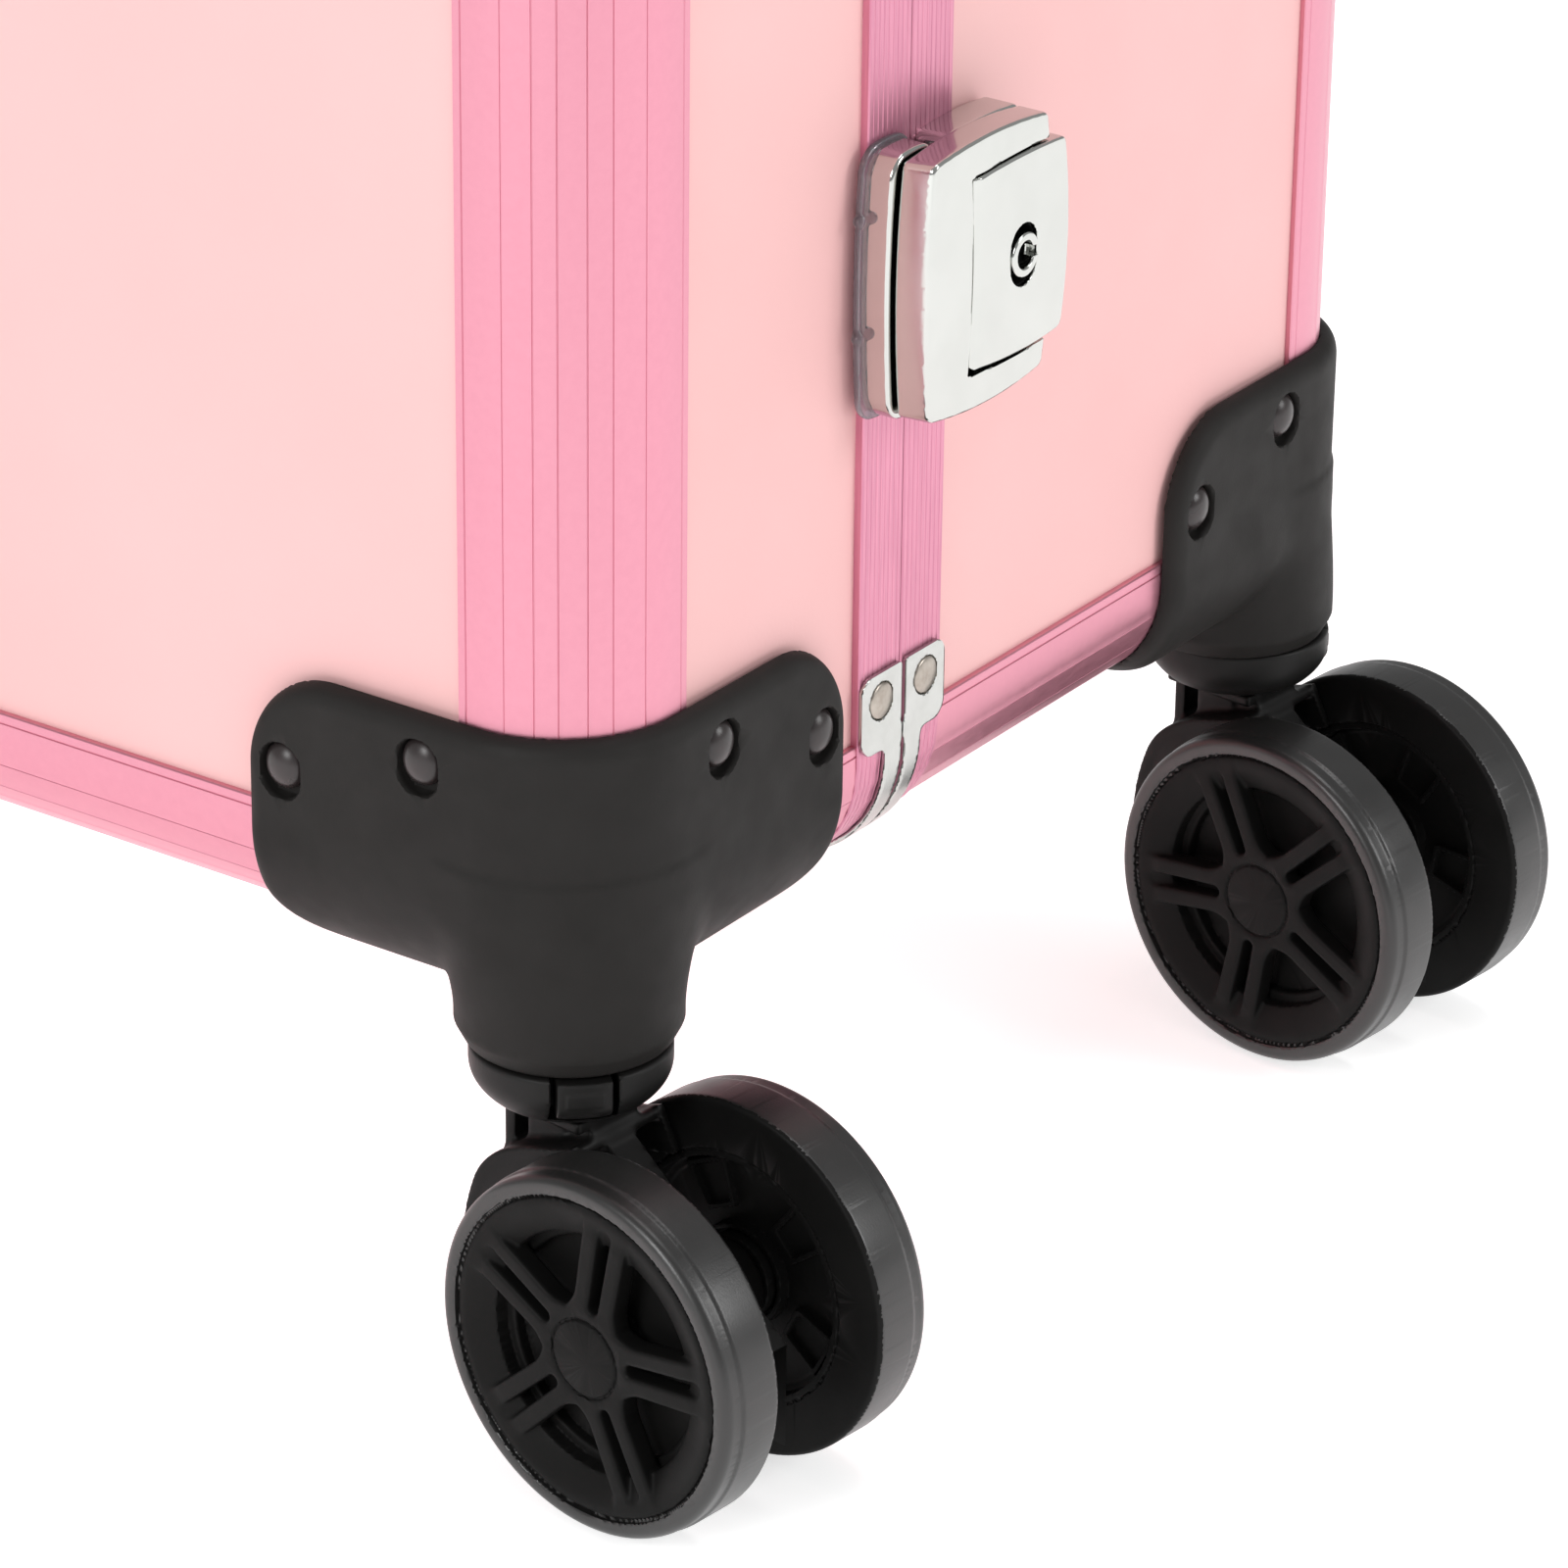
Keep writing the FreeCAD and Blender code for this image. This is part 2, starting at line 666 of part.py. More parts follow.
def latch(name, middle):
    """A key latch about a height: body, flap and key cylinder on the base, catch on the lid."""
    tall = (f"{middle} - latch_height / 2", f"{middle} + latch_height / 2")
    open_z = (f"{middle} - flap_height / 2 - 0.5", f"{middle} + flap_height / 2 + 0.5")
    base_y = ("seam_y + free_gap", "latch_back")
    foot = box(name + "_foot", outside(0, "slab_depth"), base_y, tall)
    neck = box(name + "_neck", outside("slab_depth", "cover_low"), base_y, tall)
    cover = box(name + "_cover", outside("cover_low", "cover_high"), ("latch_front", "latch_back"), tall)
    opening_y = ("flap_pivot_y - flap_half_thick - 0.4", "latch_back + 1")
    opening = box(name + "_opening", outside("cover_low + 0.4", "cover_high + 1"), opening_y, open_z)
    part(name + "_body", cut(name + "_shell", fuse(name + "_blank", foot, neck, cover), opening))
    flap_z = (f"{middle} - flap_height / 2", f"{middle} + flap_height / 2")
    flap_x = outside("flap_pivot_out - flap_half_thick", "flap_pivot_out + flap_half_thick")
    plate = box(name + "_plate", flap_x, ("flap_pivot_y", "flap_back"), flap_z)
    pivot_x = f"{SIDE} + flap_pivot_out"
    edge = rod(name + "_edge", "flap_half_thick", "z", pivot_x, "flap_pivot_y", flap_z)
    key_x = outside("flap_pivot_out - flap_half_thick + 0.6", "flap_pivot_out + flap_half_thick + 1")
    seat = rod(name + "_key_seat", "key_radius + running_gap", "x", key_x, "key_y", middle)
    part(name + "_lever", cut(name + "_flap", fuse(name + "_flap_blank", plate, edge), seat))
    plug_x = outside("flap_pivot_out - flap_half_thick + 0.6", "flap_pivot_out + flap_half_thick + 0.4")
    plug = rod(name + "_plug", "key_radius", "x", plug_x, "key_y", middle)
    face = "flap_pivot_out + flap_half_thick"
    slot = box(
        name + "_key_slot",
        outside(f"{face} - 2", f"{face} + 1"),
        ("key_y - 0.5", "key_y + 0.5"),
        (f"{middle} - 2", f"{middle} + 2"),
    )
    part(name + "_key_cylinder", cut(name + "_key_plug", plug, slot))
    catch_y = ("latch_front - 0.5", "seam_y - free_gap")
    return box(name + "_catch", outside(0, "slab_depth"), catch_y, tall)


def make_latches():
    lower = latch("latch_lower", f"({BOTTOM} + latch_rise)")
    upper = latch("latch_upper", f"({TOP} - latch_rise)")
    part("latch_catches", group("catches", lower, upper))


# ---------------------------------------------------------------- telescopic and carry handles
def tube_pair(name, radius, low, high):
    """Two round tubes side by side."""
    tubes = []
    for label, sign in (("right", 1), ("left", -1)):
        centre = (f"{sign} * tube_x", "tube_y")
        solid = rod(f"{name}_{label}_rod", radius, "z", *centre, (low, high))
        past = (f"{low} - 1", f"{high} + 1")
        room = rod(f"{name}_{label}_room", f"{radius} - tube_wall", "z", *centre, past)
        tubes.append(cut(f"{name}_{label}", solid, room))
    return tubes


def tube_holes(name, radius, span):
    """Round cutters at the places of the two tubes."""
    return [rod(f"{name}_{sign}", radius, "z", f"{sign} * tube_x", "tube_y", span) for sign in (1, -1)]


def make_trolley_handle():
    """Guide tubes under a bezel, two tube stages that slide in them, and a grip with a button."""
    floor = f"{BOTTOM} + 30"
    bezel_top = f"{TOP} + bezel_thick"
    guides = tube_pair("guide", "guide_radius", floor, bezel_top)
    plate = box(
        "bezel_plate",
        ("-(tube_x + 20)", "tube_x + 20"),
        ("tube_y - bezel_half", "tube_y + bezel_half"),
        (f"{TOP} - lip_thick", bezel_top),
    )
    holes = tube_holes("bezel_hole", "guide_radius - 0.5", (f"{TOP} - 5", f"{TOP} + 10"))
    part("handle_housing", fuse("housing", cut("bezel", plate, *holes), *guides))
    outer = tube_pair("outer_tube", "outer_tube_radius", f"{floor} + 2", f"{bezel_top} + 2")
    part("handle_outer_tubes", group("outer_tubes", *outer))
    grip_floor = f"{TOP} + grip_low"
    grip_top = f"{TOP} + grip_high"
    inner = tube_pair("inner_tube", "inner_tube_radius", f"{floor} + 4", f"{grip_floor} + 6")
    part("handle_inner_tubes", group("inner_tubes", *inner))
    bar = box(
        "grip_bar",
        ("-(tube_x + 15)", "tube_x + 15"),
        ("tube_y - 11", "tube_y + 11"),
        (grip_floor, grip_top),
    )
    bar = fillet("grip_round", bar, lambda edge: 0 if runs_along(edge, "z") else 5)
    sockets = tube_holes("grip_socket", "inner_tube_radius", (f"{grip_floor} - 1", f"{grip_floor} + 6"))
    well = box(
        "button_well",
        (-14.4, 14.4),
        ("tube_y - 5.4", "tube_y + 5.4"),
        (f"{grip_top} - 9", f"{grip_top} + 1"),
    )
    part("handle_grip", cut("grip", bar, *sockets, well))
    button = box(
        "button_block",
        (-14, 14),
        ("tube_y - 5", "tube_y + 5"),
        (f"{grip_top} - 4.5", f"{grip_top} + 0.6"),
    )
    part("handle_button", button)


def beside(sign, near, far):
    """The span along X between two distances from the middle, on one side."""
    return (near, far) if sign > 0 else (f"-({far})", f"-({near})")


def make_carry_handle():
    """A swinging handle on the top, lying back at rest, between two mounts."""
    pivot_z = f"{TOP} + carry_pivot_rise"
    foot_top = f"{TOP} + mount_foot"
    mounts = []
    for label, sign in (("right", 1), ("left", -1)):
        name = f"mount_{label}"
        span_x = beside(sign, "carry_half + 2", "carry_half + 2 + mount_thick")
        foot_y = ("carry_y - mount_half", "carry_y + mount_half")
        foot = box(name + "_foot", span_x, foot_y, (f"{TOP} - lip_thick", foot_top))
        ear_y = ("carry_y - ear_radius", "carry_y + ear_radius")
        ear = box(name + "_ear", span_x, ear_y, (foot_top, pivot_z))
        cap = rod(name + "_cap", "ear_radius", "x", span_x, "carry_y", pivot_z)
        past_x = (f"{span_x[0]} - 1", f"{span_x[1]} + 1")
        bore = rod(name + "_bore", "carry_pin_radius + running_gap", "x", past_x, "carry_y", pivot_z)
        mounts.append(cut(name, fuse(name + "_blank", foot, ear, cap), bore))
    part("carry_handle_mounts", group("carry_mounts", *mounts))
    bar_y = "carry_y + carry_reach"
    bar_x = ("-(carry_half + 1.5)", "carry_half + 1.5")
    pieces = [rod("carry_bar", "carry_bar_radius", "x", bar_x, bar_y, pivot_z)]
    arm_z = (f"{pivot_z} - carry_arm_radius", f"{pivot_z} + carry_arm_radius")
    for sign in (1, -1):
        arm_x = beside(sign, "carry_half + 1.5 - carry_arm", "carry_half + 1.5")
        pin_x = beside(sign, "carry_half - 4", "carry_half - 4 + carry_pin_length")
        pieces += [
            box(f"carry_arm_{sign}", arm_x, ("carry_y", bar_y), arm_z),
            rod(f"carry_end_{sign}", "carry_arm_radius", "x", arm_x, "carry_y", pivot_z),
            rod(f"carry_pin_{sign}", "carry_pin_radius", "x", pin_x, "carry_y", pivot_z),
        ]
    part("carry_handle", fuse("carry", *pieces))


# ---------------------------------------------------------------- casters
def wheel(name):
    """A wheel with five windows, its axle along Z. Its outer face is at half the pair's span."""
    inner = "(wheels_span / 2 - wheel_width)"
    outer = "wheels_span / 2"
    bore_end = f"{outer} - 2"
    hub_face = f"{inner} - 0.6"
    rim_edge = "wheel_radius - rim_width"
    body = revolved(
        name,
        [
            (0, bore_end),
            ("axle_radius + running_gap", bore_end),
            ("axle_radius + running_gap", hub_face),
            ("hub_radius", hub_face),
            ("hub_radius", f"{inner} + recess_depth"),
            ("recess_radius", f"{inner} + recess_depth"),
            ("recess_radius", inner),
            ("wheel_radius - 1", inner),
            ("wheel_radius", f"{inner} + 1"),
            ("wheel_radius", f"{outer} - 1.5"),
            ("wheel_radius - 1.2", outer),
            (rim_edge, outer),
            (rim_edge, f"{outer} - rim_proud"),
            (0, f"{outer} - rim_proud"),
        ],
    )
    window = closed_sketch(body, name + "_window", "XY_Plane", [(10, 3), (21, 3), (20, 10), (11, 7)])
    pocket = body.newObject("PartDesign::Pocket", name + "_windows")
    pocket.Profile = window
    pocket.Type = "ThroughAll"
    pocket.Midplane = True
    pattern = body.newObject("PartDesign::PolarPattern", name + "_pattern")
    pattern.Originals = [pocket]
    pattern.Axis = (window, ["N_Axis"])
    pattern.Angle = 360
    pattern.Occurrences = 5
    body.Tip = pattern
    return body


def ride_caster(thing, corner, angle):
    """Places a piece made about a caster's swivel axis at its corner of the case, turned about Z."""
    sign_x, sign_y = CASTERS[corner]
    thing.Placement = FreeCAD.Placement(FreeCAD.Vector(), FreeCAD.Rotation(AXES["z"], angle))
    return place(
        thing,
        f"{sign_x} * ({SIDE} - caster_inset)",
        f"{sign_y} * ({BACK} - caster_inset)",
        BOTTOM,
    )


def collar(corner, outward):
    """The plug-in collar, with a notch that faces outwards."""
    bore = "stem_radius + running_gap"
    turned = revolved(
        f"collar_{corner}",
        [
            (bore, "-collar_drop"),
            ("collar_foot_radius", "-collar_drop"),
            ("collar_radius - 1", "-collar_drop + 3"),
            ("collar_radius", "-collar_drop + 6"),
            ("collar_radius", "-cup_drop"),
            ("plug_radius", "-cup_drop"),
            ("plug_radius", "-0.3"),
            (bore, "-0.3"),
        ],
    )
    notch = box(
        f"notch_{corner}",
        (9, 20),
        ("-tab_width / 2 - 0.4", "tab_width / 2 + 0.4"),
        ("-tab_rise - tab_height - 0.4", "-tab_rise + 0.4"),
    )
    facing = group(f"notch_turned_{corner}", notch)
    facing.Placement = FreeCAD.Placement(FreeCAD.Vector(), FreeCAD.Rotation(AXES["z"], outward))
    return cut(f"collar_notched_{corner}", turned, facing)


def fork(corner):
    """The swivelling fork: a web between the wheels, its stem, and the eye for the axle."""
    web = padded(
        f"web_{corner}",
        "XZ_Plane",
        [
            (-10, "-collar_drop - 0.6"),
            (11, "-collar_drop - 0.6"),
            (20, "-collar_drop - 12"),
            ("trail + 7", "-axle_drop + 6"),
            ("trail + 7", "-axle_drop - 5"),
            ("trail - 3", "-axle_drop - 7"),
            ("trail - 12", "-axle_drop"),
            (-5, "-collar_drop - 13"),
        ],
        "fork_width",
    )
    stem = rod(f"stem_{corner}", "stem_radius", "z", 0, 0, ("-collar_drop - 8", "-0.5"))
    half = "wheels_span / 2 - wheel_width - boss_gap"
    boss = rod(f"boss_{corner}", "hub_radius", "y", "trail", (f"-({half})", half), "-axle_drop")
    eye = rod(f"eye_{corner}", "axle_radius", "y", "trail", ("-20", "20"), "-axle_drop")
    return cut(f"fork_{corner}", fuse(f"fork_blank_{corner}", web, stem, boss), eye)


def caster(corner):
    """One plug-in twin-wheel caster, its pieces made about the swivel axis with Z 0 at the case."""
    name = f"caster_{corner}"
    sign_x, sign_y = CASTERS[corner]
    outward = math.degrees(math.atan2(sign_y, sign_x))
    swivelled = CASTER_TURN if sign_x > 0 else CASTER_TURN + 180
    part(name + "_collar", ride_caster(collar(corner, outward), corner, 0))
    tab_y = ("-tab_width / 2", "tab_width / 2")
    tab = box(f"tab_{corner}", (11, 16.9), tab_y, ("-tab_rise - tab_height", "-tab_rise"))
    part(name + "_release_tab", ride_caster(group(f"tab_set_{corner}", tab), corner, outward))
    part(name + "_fork", ride_caster(fork(corner), corner, swivelled))
    half = "wheels_span / 2 - 2.3"
    axle = rod(f"axle_{corner}", "axle_radius", "y", "trail", (f"-({half})", half), "-axle_drop")
    part(name + "_axle", ride_caster(group(f"axle_set_{corner}", axle), corner, swivelled))
    # the outer wheel is the one nearer the front of a front caster, or the back of a rear one
    outer_turn = 90 if sign_x != sign_y else -90
    for side, turn in (("outer", outer_turn), ("inner", -outer_turn)):
        spinner = wheel(f"wheel_{side}_{corner}")
        spinner.Placement = FreeCAD.Placement(FreeCAD.Vector(), FreeCAD.Rotation(AXES["x"], turn))
        place(spinner, "trail", 0, "-axle_drop")
        carried = group(f"wheel_set_{side}_{corner}", spinner)
        part(f"{name}_{side}_wheel", ride_caster(carried, corner, swivelled))


# ---------------------------------------------------------------- the whole case
def check_and_write():
    """Stops on any failed object or bad shape, then writes one STEP file for each sub-part."""
    DOC.recompute()
    failed = [thing.Name for thing in DOC.Objects if {"Invalid", "Error"} & set(thing.State)]
    bad = [name for name, thing in PARTS.items() if thing.Shape.isNull() or not thing.Shape.isValid()]
    if failed or bad:
        raise SystemExit(f"failed objects {failed}, bad shapes {bad}")
    os.makedirs("parts", exist_ok=True)
    for name, thing in PARTS.items():
        thing.Shape.exportStep(f"parts/{name}.step")
    print(len(PARTS), "sub-parts")


make_guards()
make_boards()
make_shelves()
make_frames()
make_clips()
make_hinge()
make_latches()
make_trolley_handle()
make_carry_handle()
for corner in CASTERS:
    caster(corner)
check_and_write()
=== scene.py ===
"""The looks of the rolling makeup train case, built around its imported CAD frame.

Moulded pieces are made from distance fields: a function gives the distance to the surface at each
point of a grid, and a mesh is drawn where it is zero. Extruded pieces are profiles swept along a
path. Lengths are in millimetres inside the builders, and in metres in the scene.
"""

import json
import math

import bpy
import numpy as np
from mathutils import Matrix, Vector

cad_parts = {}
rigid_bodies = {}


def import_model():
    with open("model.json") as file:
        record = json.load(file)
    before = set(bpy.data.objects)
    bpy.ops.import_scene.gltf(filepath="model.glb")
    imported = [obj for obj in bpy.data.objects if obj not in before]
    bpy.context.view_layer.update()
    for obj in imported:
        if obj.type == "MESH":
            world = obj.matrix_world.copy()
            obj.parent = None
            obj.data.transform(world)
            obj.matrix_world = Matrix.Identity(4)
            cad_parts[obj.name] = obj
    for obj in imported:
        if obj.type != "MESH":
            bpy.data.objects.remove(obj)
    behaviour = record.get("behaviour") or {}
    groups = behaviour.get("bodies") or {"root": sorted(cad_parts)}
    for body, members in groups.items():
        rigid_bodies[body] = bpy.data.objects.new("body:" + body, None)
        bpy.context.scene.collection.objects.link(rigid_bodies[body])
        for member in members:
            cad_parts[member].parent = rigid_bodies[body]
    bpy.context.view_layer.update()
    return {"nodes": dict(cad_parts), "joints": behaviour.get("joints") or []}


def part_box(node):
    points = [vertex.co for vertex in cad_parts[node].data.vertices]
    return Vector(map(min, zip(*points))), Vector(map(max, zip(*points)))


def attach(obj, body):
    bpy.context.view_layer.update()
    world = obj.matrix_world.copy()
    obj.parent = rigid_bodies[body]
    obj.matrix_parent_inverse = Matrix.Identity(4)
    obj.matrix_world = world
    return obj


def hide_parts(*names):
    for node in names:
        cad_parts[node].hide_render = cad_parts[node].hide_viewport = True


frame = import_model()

MM = 0.001

# The frame's own places, in millimetres.
SEAM_LOW, SEAM_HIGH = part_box("lid_seam_frame")
BASE_TRIM_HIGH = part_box("base_edge_trims")[1]
LID_TRIM_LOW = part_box("lid_edge_trims")[0]
SIDE = SEAM_HIGH.x / MM
FRONT = LID_TRIM_LOW.y / MM
BACK = BASE_TRIM_HIGH.y / MM
BOTTOM = SEAM_LOW.z / MM
TOP = SEAM_HIGH.z / MM
MIDDLE = (BOTTOM + TOP) / 2
LID_BACK = SEAM_HIGH.y / MM
LID_FRAME = SEAM_LOW.y / MM
BASE_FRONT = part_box("base_seam_frame")[0].y / MM
BASE_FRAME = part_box("base_seam_frame")[1].y / MM
EDGE_RADIUS = 22.0
TRIM_LEG = 26.0
SMOOTH_ANGLE, RIB_ANGLE = math.radians(42), math.radians(28)


# ---------------------------------------------------------------- meshes
def mesh_object(name, verts, faces, sharp=SMOOTH_ANGLE):
    """A new object from corner points in millimetres, shaded smooth up to an angle."""
    mesh = bpy.data.meshes.new(name)
    corners = np.asarray(verts, float) * MM
    mesh.from_pydata([tuple(v) for v in corners], [], [tuple(f) for f in faces])
    mesh.update()
    mesh.shade_smooth()
    mesh.set_sharp_from_angle(angle=sharp)
    piece = bpy.data.objects.new(name, mesh)
    bpy.context.scene.collection.objects.link(piece)
    return piece


def finish_piece(piece, body, finish, nodes):
    """Gives a piece its material, the CAD nodes it stands for and the body it rides on."""
    piece.data.materials.append(finish)
    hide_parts(*nodes)
    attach(piece, body)


def thinned(name, part, ratio):
    """A (verts, faces) pair with fewer faces where it is flat."""
    piece = mesh_object(name, *part)
    piece.modifiers.new("Decimate", "DECIMATE").ratio = ratio
    graph = bpy.context.evaluated_depsgraph_get()
    graph.update()
    mesh = bpy.data.meshes.new_from_object(piece.evaluated_get(graph))
    verts = np.array([v.co for v in mesh.vertices]) / MM
    faces = [tuple(p.vertices) for p in mesh.polygons]
    full = piece.data
    bpy.data.objects.remove(piece)
    for used in (full, mesh):
        bpy.data.meshes.remove(used)
    return verts, faces


def joined(parts):
    """One (verts, faces) pair from several."""
    verts, faces, start = [], [], 0
    for part_verts, part_faces in parts:
        part_verts = np.asarray(part_verts, float)
        verts.append(part_verts)
        faces.extend([tuple(int(i) + start for i in face) for face in part_faces])
        start += len(part_verts)
    return np.concatenate(verts), faces


def moved(part, matrix):
    """A (verts, faces) pair carried by a matrix, its faces turned over if the matrix mirrors."""
    verts, faces = part
    full = np.array(matrix)
    verts = np.asarray(verts, float) @ full[:3, :3].T + full[:3, 3]
    if np.linalg.det(full[:3, :3]) < 0:
        faces = [tuple(reversed(face)) for face in faces]
    return verts, faces


# ---------------------------------------------------------------- distance fields
def grid_of(low, high, step):
    """The three coordinate arrays of a grid and its axes, with a cell of margin all round."""
    axes = [
        np.arange(a - 1.5 * step, b + 2.5 * step, step, dtype=np.float32)
        for a, b in zip(low, high)
    ]
    return np.meshgrid(*axes, indexing="ij"), axes


def surface_of(field, axes):
    """A closed quad mesh where the field is zero, by surface nets."""
    inside = field < 0
    corners = [(i, j, k) for i in (0, 1) for j in (0, 1) for k in (0, 1)]
    size = np.array(field.shape) - 1

    def corner(array, spot):
        return array[tuple(slice(o, o + n) for o, n in zip(spot, size))]

    count = sum(corner(inside, c).astype(np.int8) for c in corners)
    active = (count > 0) & (count < 8)
    cells = np.argwhere(active)
    number = np.full(active.shape, -1, np.int64)
    number[active] = np.arange(len(cells))
    total = np.zeros((len(cells), 3))
    crossings = np.zeros(len(cells))
    values = {c: corner(field, c)[active] for c in corners}
    for first in corners:
        for axis in range(3):
            if first[axis]:
                continue
            second = tuple(1 if i == axis else first[i] for i in range(3))
            a, b = values[first], values[second]
            crosses = (a < 0) != (b < 0)
            share = np.where(crosses, a / np.where(crosses, a - b, 1), 0)
            spot = np.tile(np.array(first, float), (len(cells), 1))
            spot[:, axis] += share
            total += spot * crosses[:, None]
            crossings += crosses
    verts = cells + total / crossings[:, None]
    step = [axis[1] - axis[0] for axis in axes]
    verts = verts * step + [axis[0] for axis in axes]
    faces = []
    for axis in range(3):
        one, two = [i for i in range(3) if i != axis]
        low = [slice(1, -1)] * 3
        low[axis] = slice(0, -1)
        high = list(low)
        high[axis] = slice(1, None)
        before, after = inside[tuple(low)], inside[tuple(high)]
        spots = np.argwhere(before != after)
        rising = before[before != after]
        spots[:, one] += 1
        spots[:, two] += 1
        quads = []
        for back_one, back_two in ((1, 1), (0, 1), (0, 0), (1, 0)):
            at = spots.copy()
            at[:, one] -= back_one
            at[:, two] -= back_two
            quads.append(number[at[:, 0], at[:, 1], at[:, 2]])
        quads = np.stack(quads, axis=1)
        flip = rising if axis != 1 else ~rising
        quads[~flip] = quads[~flip][:, ::-1]
        faces.append(quads)
    return verts, np.concatenate(faces)


def field_part(low, high, step, distance):
    """The (verts, faces) of a distance field, its points drawn onto the exact surface."""
    (x, y, z), axes = grid_of(low, high, step)
    verts, faces = surface_of(distance(x, y, z), axes)
    shift = step * 0.05
    for _ in range(2):
        here = distance(*verts.T)
        slope = np.stack(
            [
                (distance(*(verts + shift * np.eye(3)[axis]).T) - here) / shift
                for axis in range(3)
            ],
            axis=1,
        )
        length = np.maximum((slope**2).sum(1), 0.25)
        move = -slope * (here / length)[:, None]
        verts = verts + np.clip(move, -step * 0.4, step * 0.4)
    return verts, faces.tolist()


def smooth_min(a, b, k):
    """The nearer of two distances, blended over a fillet of about k."""
    h = np.maximum(k - np.abs(a - b), 0) / k
    return np.minimum(a, b) - h * h * k / 4


def smooth_max(a, b, k):
    """The farther of two distances, blended over a fillet of about k."""
    return -smooth_min(-a, -b, k)


def rounded(qa, qb, radius):
    """Distance to a corner rounded by a radius, from how far each coordinate is past its centre."""
    beyond = np.hypot(np.maximum(qa, 0), np.maximum(qb, 0))
    return beyond + np.minimum(np.maximum(qa, qb), 0) - radius


def rect_field(a, b, a_span, b_span, radius):
    """Distance to a rounded rectangle in two coordinates."""
    qa = np.abs(a - (a_span[0] + a_span[1]) / 2) - (a_span[1] - a_span[0]) / 2 + radius
    qb = np.abs(b - (b_span[0] + b_span[1]) / 2) - (b_span[1] - b_span[0]) / 2 + radius
    return rounded(qa, qb, radius)


def ring_field(r, z, r_low, r_high, z_low, z_high, radius):
    """Distance to a turned band with rounded edges, from the radius and height."""
    return rect_field(r, z, (r_low, r_high), (z_low, z_high), radius)


def box_field(x, y, z, x_span, y_span, z_span, radius):
    """Distance to a rounded block."""
    out = 0
    most = None
    for value, (low, high) in ((x, x_span), (y, y_span), (z, z_span)):
        q = np.abs(value - (low + high) / 2) - (high - low) / 2 + radius
        out = out + np.maximum(q, 0) ** 2
        most = q if most is None else np.maximum(most, q)
    return np.sqrt(out) + np.minimum(most, 0) - radius


def octant_field(u, v, w, centre, radius):
    """Distance to a block that fills the positive octant, its edges and its corner rounded."""
    a, b, c = (np.maximum(centre - t, 0) for t in (u, v, w))
    near = np.minimum(np.minimum(u, v), w) - centre
    return np.sqrt(a * a + b * b + c * c) - radius - np.maximum(near, 0)


# ---------------------------------------------------------------- materials
def material(name, colour, roughness, metallic=0.0, build=None, **sockets):
    """A node material. build(tree, shader) adds its own detail."""
    made = bpy.data.materials.new(name)
    made.use_nodes = True
    tree = made.node_tree
    shader = tree.nodes["Principled BSDF"]
    shader.inputs["Base Color"].default_value = (*colour, 1)
    shader.inputs["Roughness"].default_value = roughness
    shader.inputs["Metallic"].default_value = metallic
    for key, value in sockets.items():
        shader.inputs[key.replace("_", " ")].default_value = value
    if build:
        build(tree, shader)
    return made


def node(tree, kind, inputs=None, **settings):
    """Adds a node, sets its properties, and links or sets its inputs."""
    made = tree.nodes.new(kind)
    for key, value in settings.items():
        setattr(made, key, value)
    for key, value in (inputs or {}).items():
        if isinstance(value, bpy.types.NodeSocket):
            tree.links.new(value, made.inputs[key])
        else:
            made.inputs[key].default_value = value
    return made


def noise(tree, scale, detail, rough=0.5, stretch=(1, 1, 1)):
    """Noise in object space. scale is in features per metre."""
    spot = node(tree, "ShaderNodeTexCoord").outputs["Object"]
    mapped = node(tree, "ShaderNodeMapping", {"Vector": spot, "Scale": stretch}).outputs["Vector"]
    inputs = {"Vector": mapped, "Scale": scale, "Detail": detail, "Roughness": rough}
    return node(tree, "ShaderNodeTexNoise", inputs).outputs["Fac"]


def tint(tree, shader, factor, first, second, low=0.3, high=0.7):
    """Colour that drifts between two values with a factor."""
    ramp = node(tree, "ShaderNodeValToRGB", {"Fac": factor})
    ramp.color_ramp.elements[0].position = low
    ramp.color_ramp.elements[0].color = (*first, 1)
    ramp.color_ramp.elements[1].position = high
    ramp.color_ramp.elements[1].color = (*second, 1)
    tree.links.new(ramp.outputs["Color"], shader.inputs["Base Color"])


def vary(tree, shader, factor, low, high):
    """Roughness that drifts between two values."""
    inputs = {"Value": factor, "From Min": 0.3, "From Max": 0.7, "To Min": low, "To Max": high}
    spread = node(tree, "ShaderNodeMapRange", inputs)
    tree.links.new(spread.outputs["Result"], shader.inputs["Roughness"])


def bump(tree, shader, height, strength, distance):
    """Relief from a height, its distance in metres. Several calls stack up."""
    inputs = {"Height": height, "Strength": strength, "Distance": distance}
    made = node(tree, "ShaderNodeBump", inputs)
    chained = shader.inputs["Normal"].links
    if chained:
        tree.links.new(chained[0].from_socket, made.inputs["Normal"])
    tree.links.new(made.outputs["Normal"], shader.inputs["Normal"])


def grain(first, second, cell, depth, low, high):
    """Fine pebbled grain: cells of this size in metres, with a soft drift in colour and gloss."""

    def build(tree, shader):
        tint(tree, shader, noise(tree, 14, 3), first, second)
        vary(tree, shader, noise(tree, 60, 3), low, high)
        spot = node(tree, "ShaderNodeTexCoord").outputs["Object"]
        inputs = {"Vector": spot, "Scale": 1 / cell}
        cells = node(tree, "ShaderNodeTexVoronoi", inputs, feature="SMOOTH_F1")
        bump(tree, shader, cells.outputs["Distance"], 0.5, depth)
        bump(tree, shader, noise(tree, 0.45 / cell, 3, 0.6), 0.5, depth)

    return build


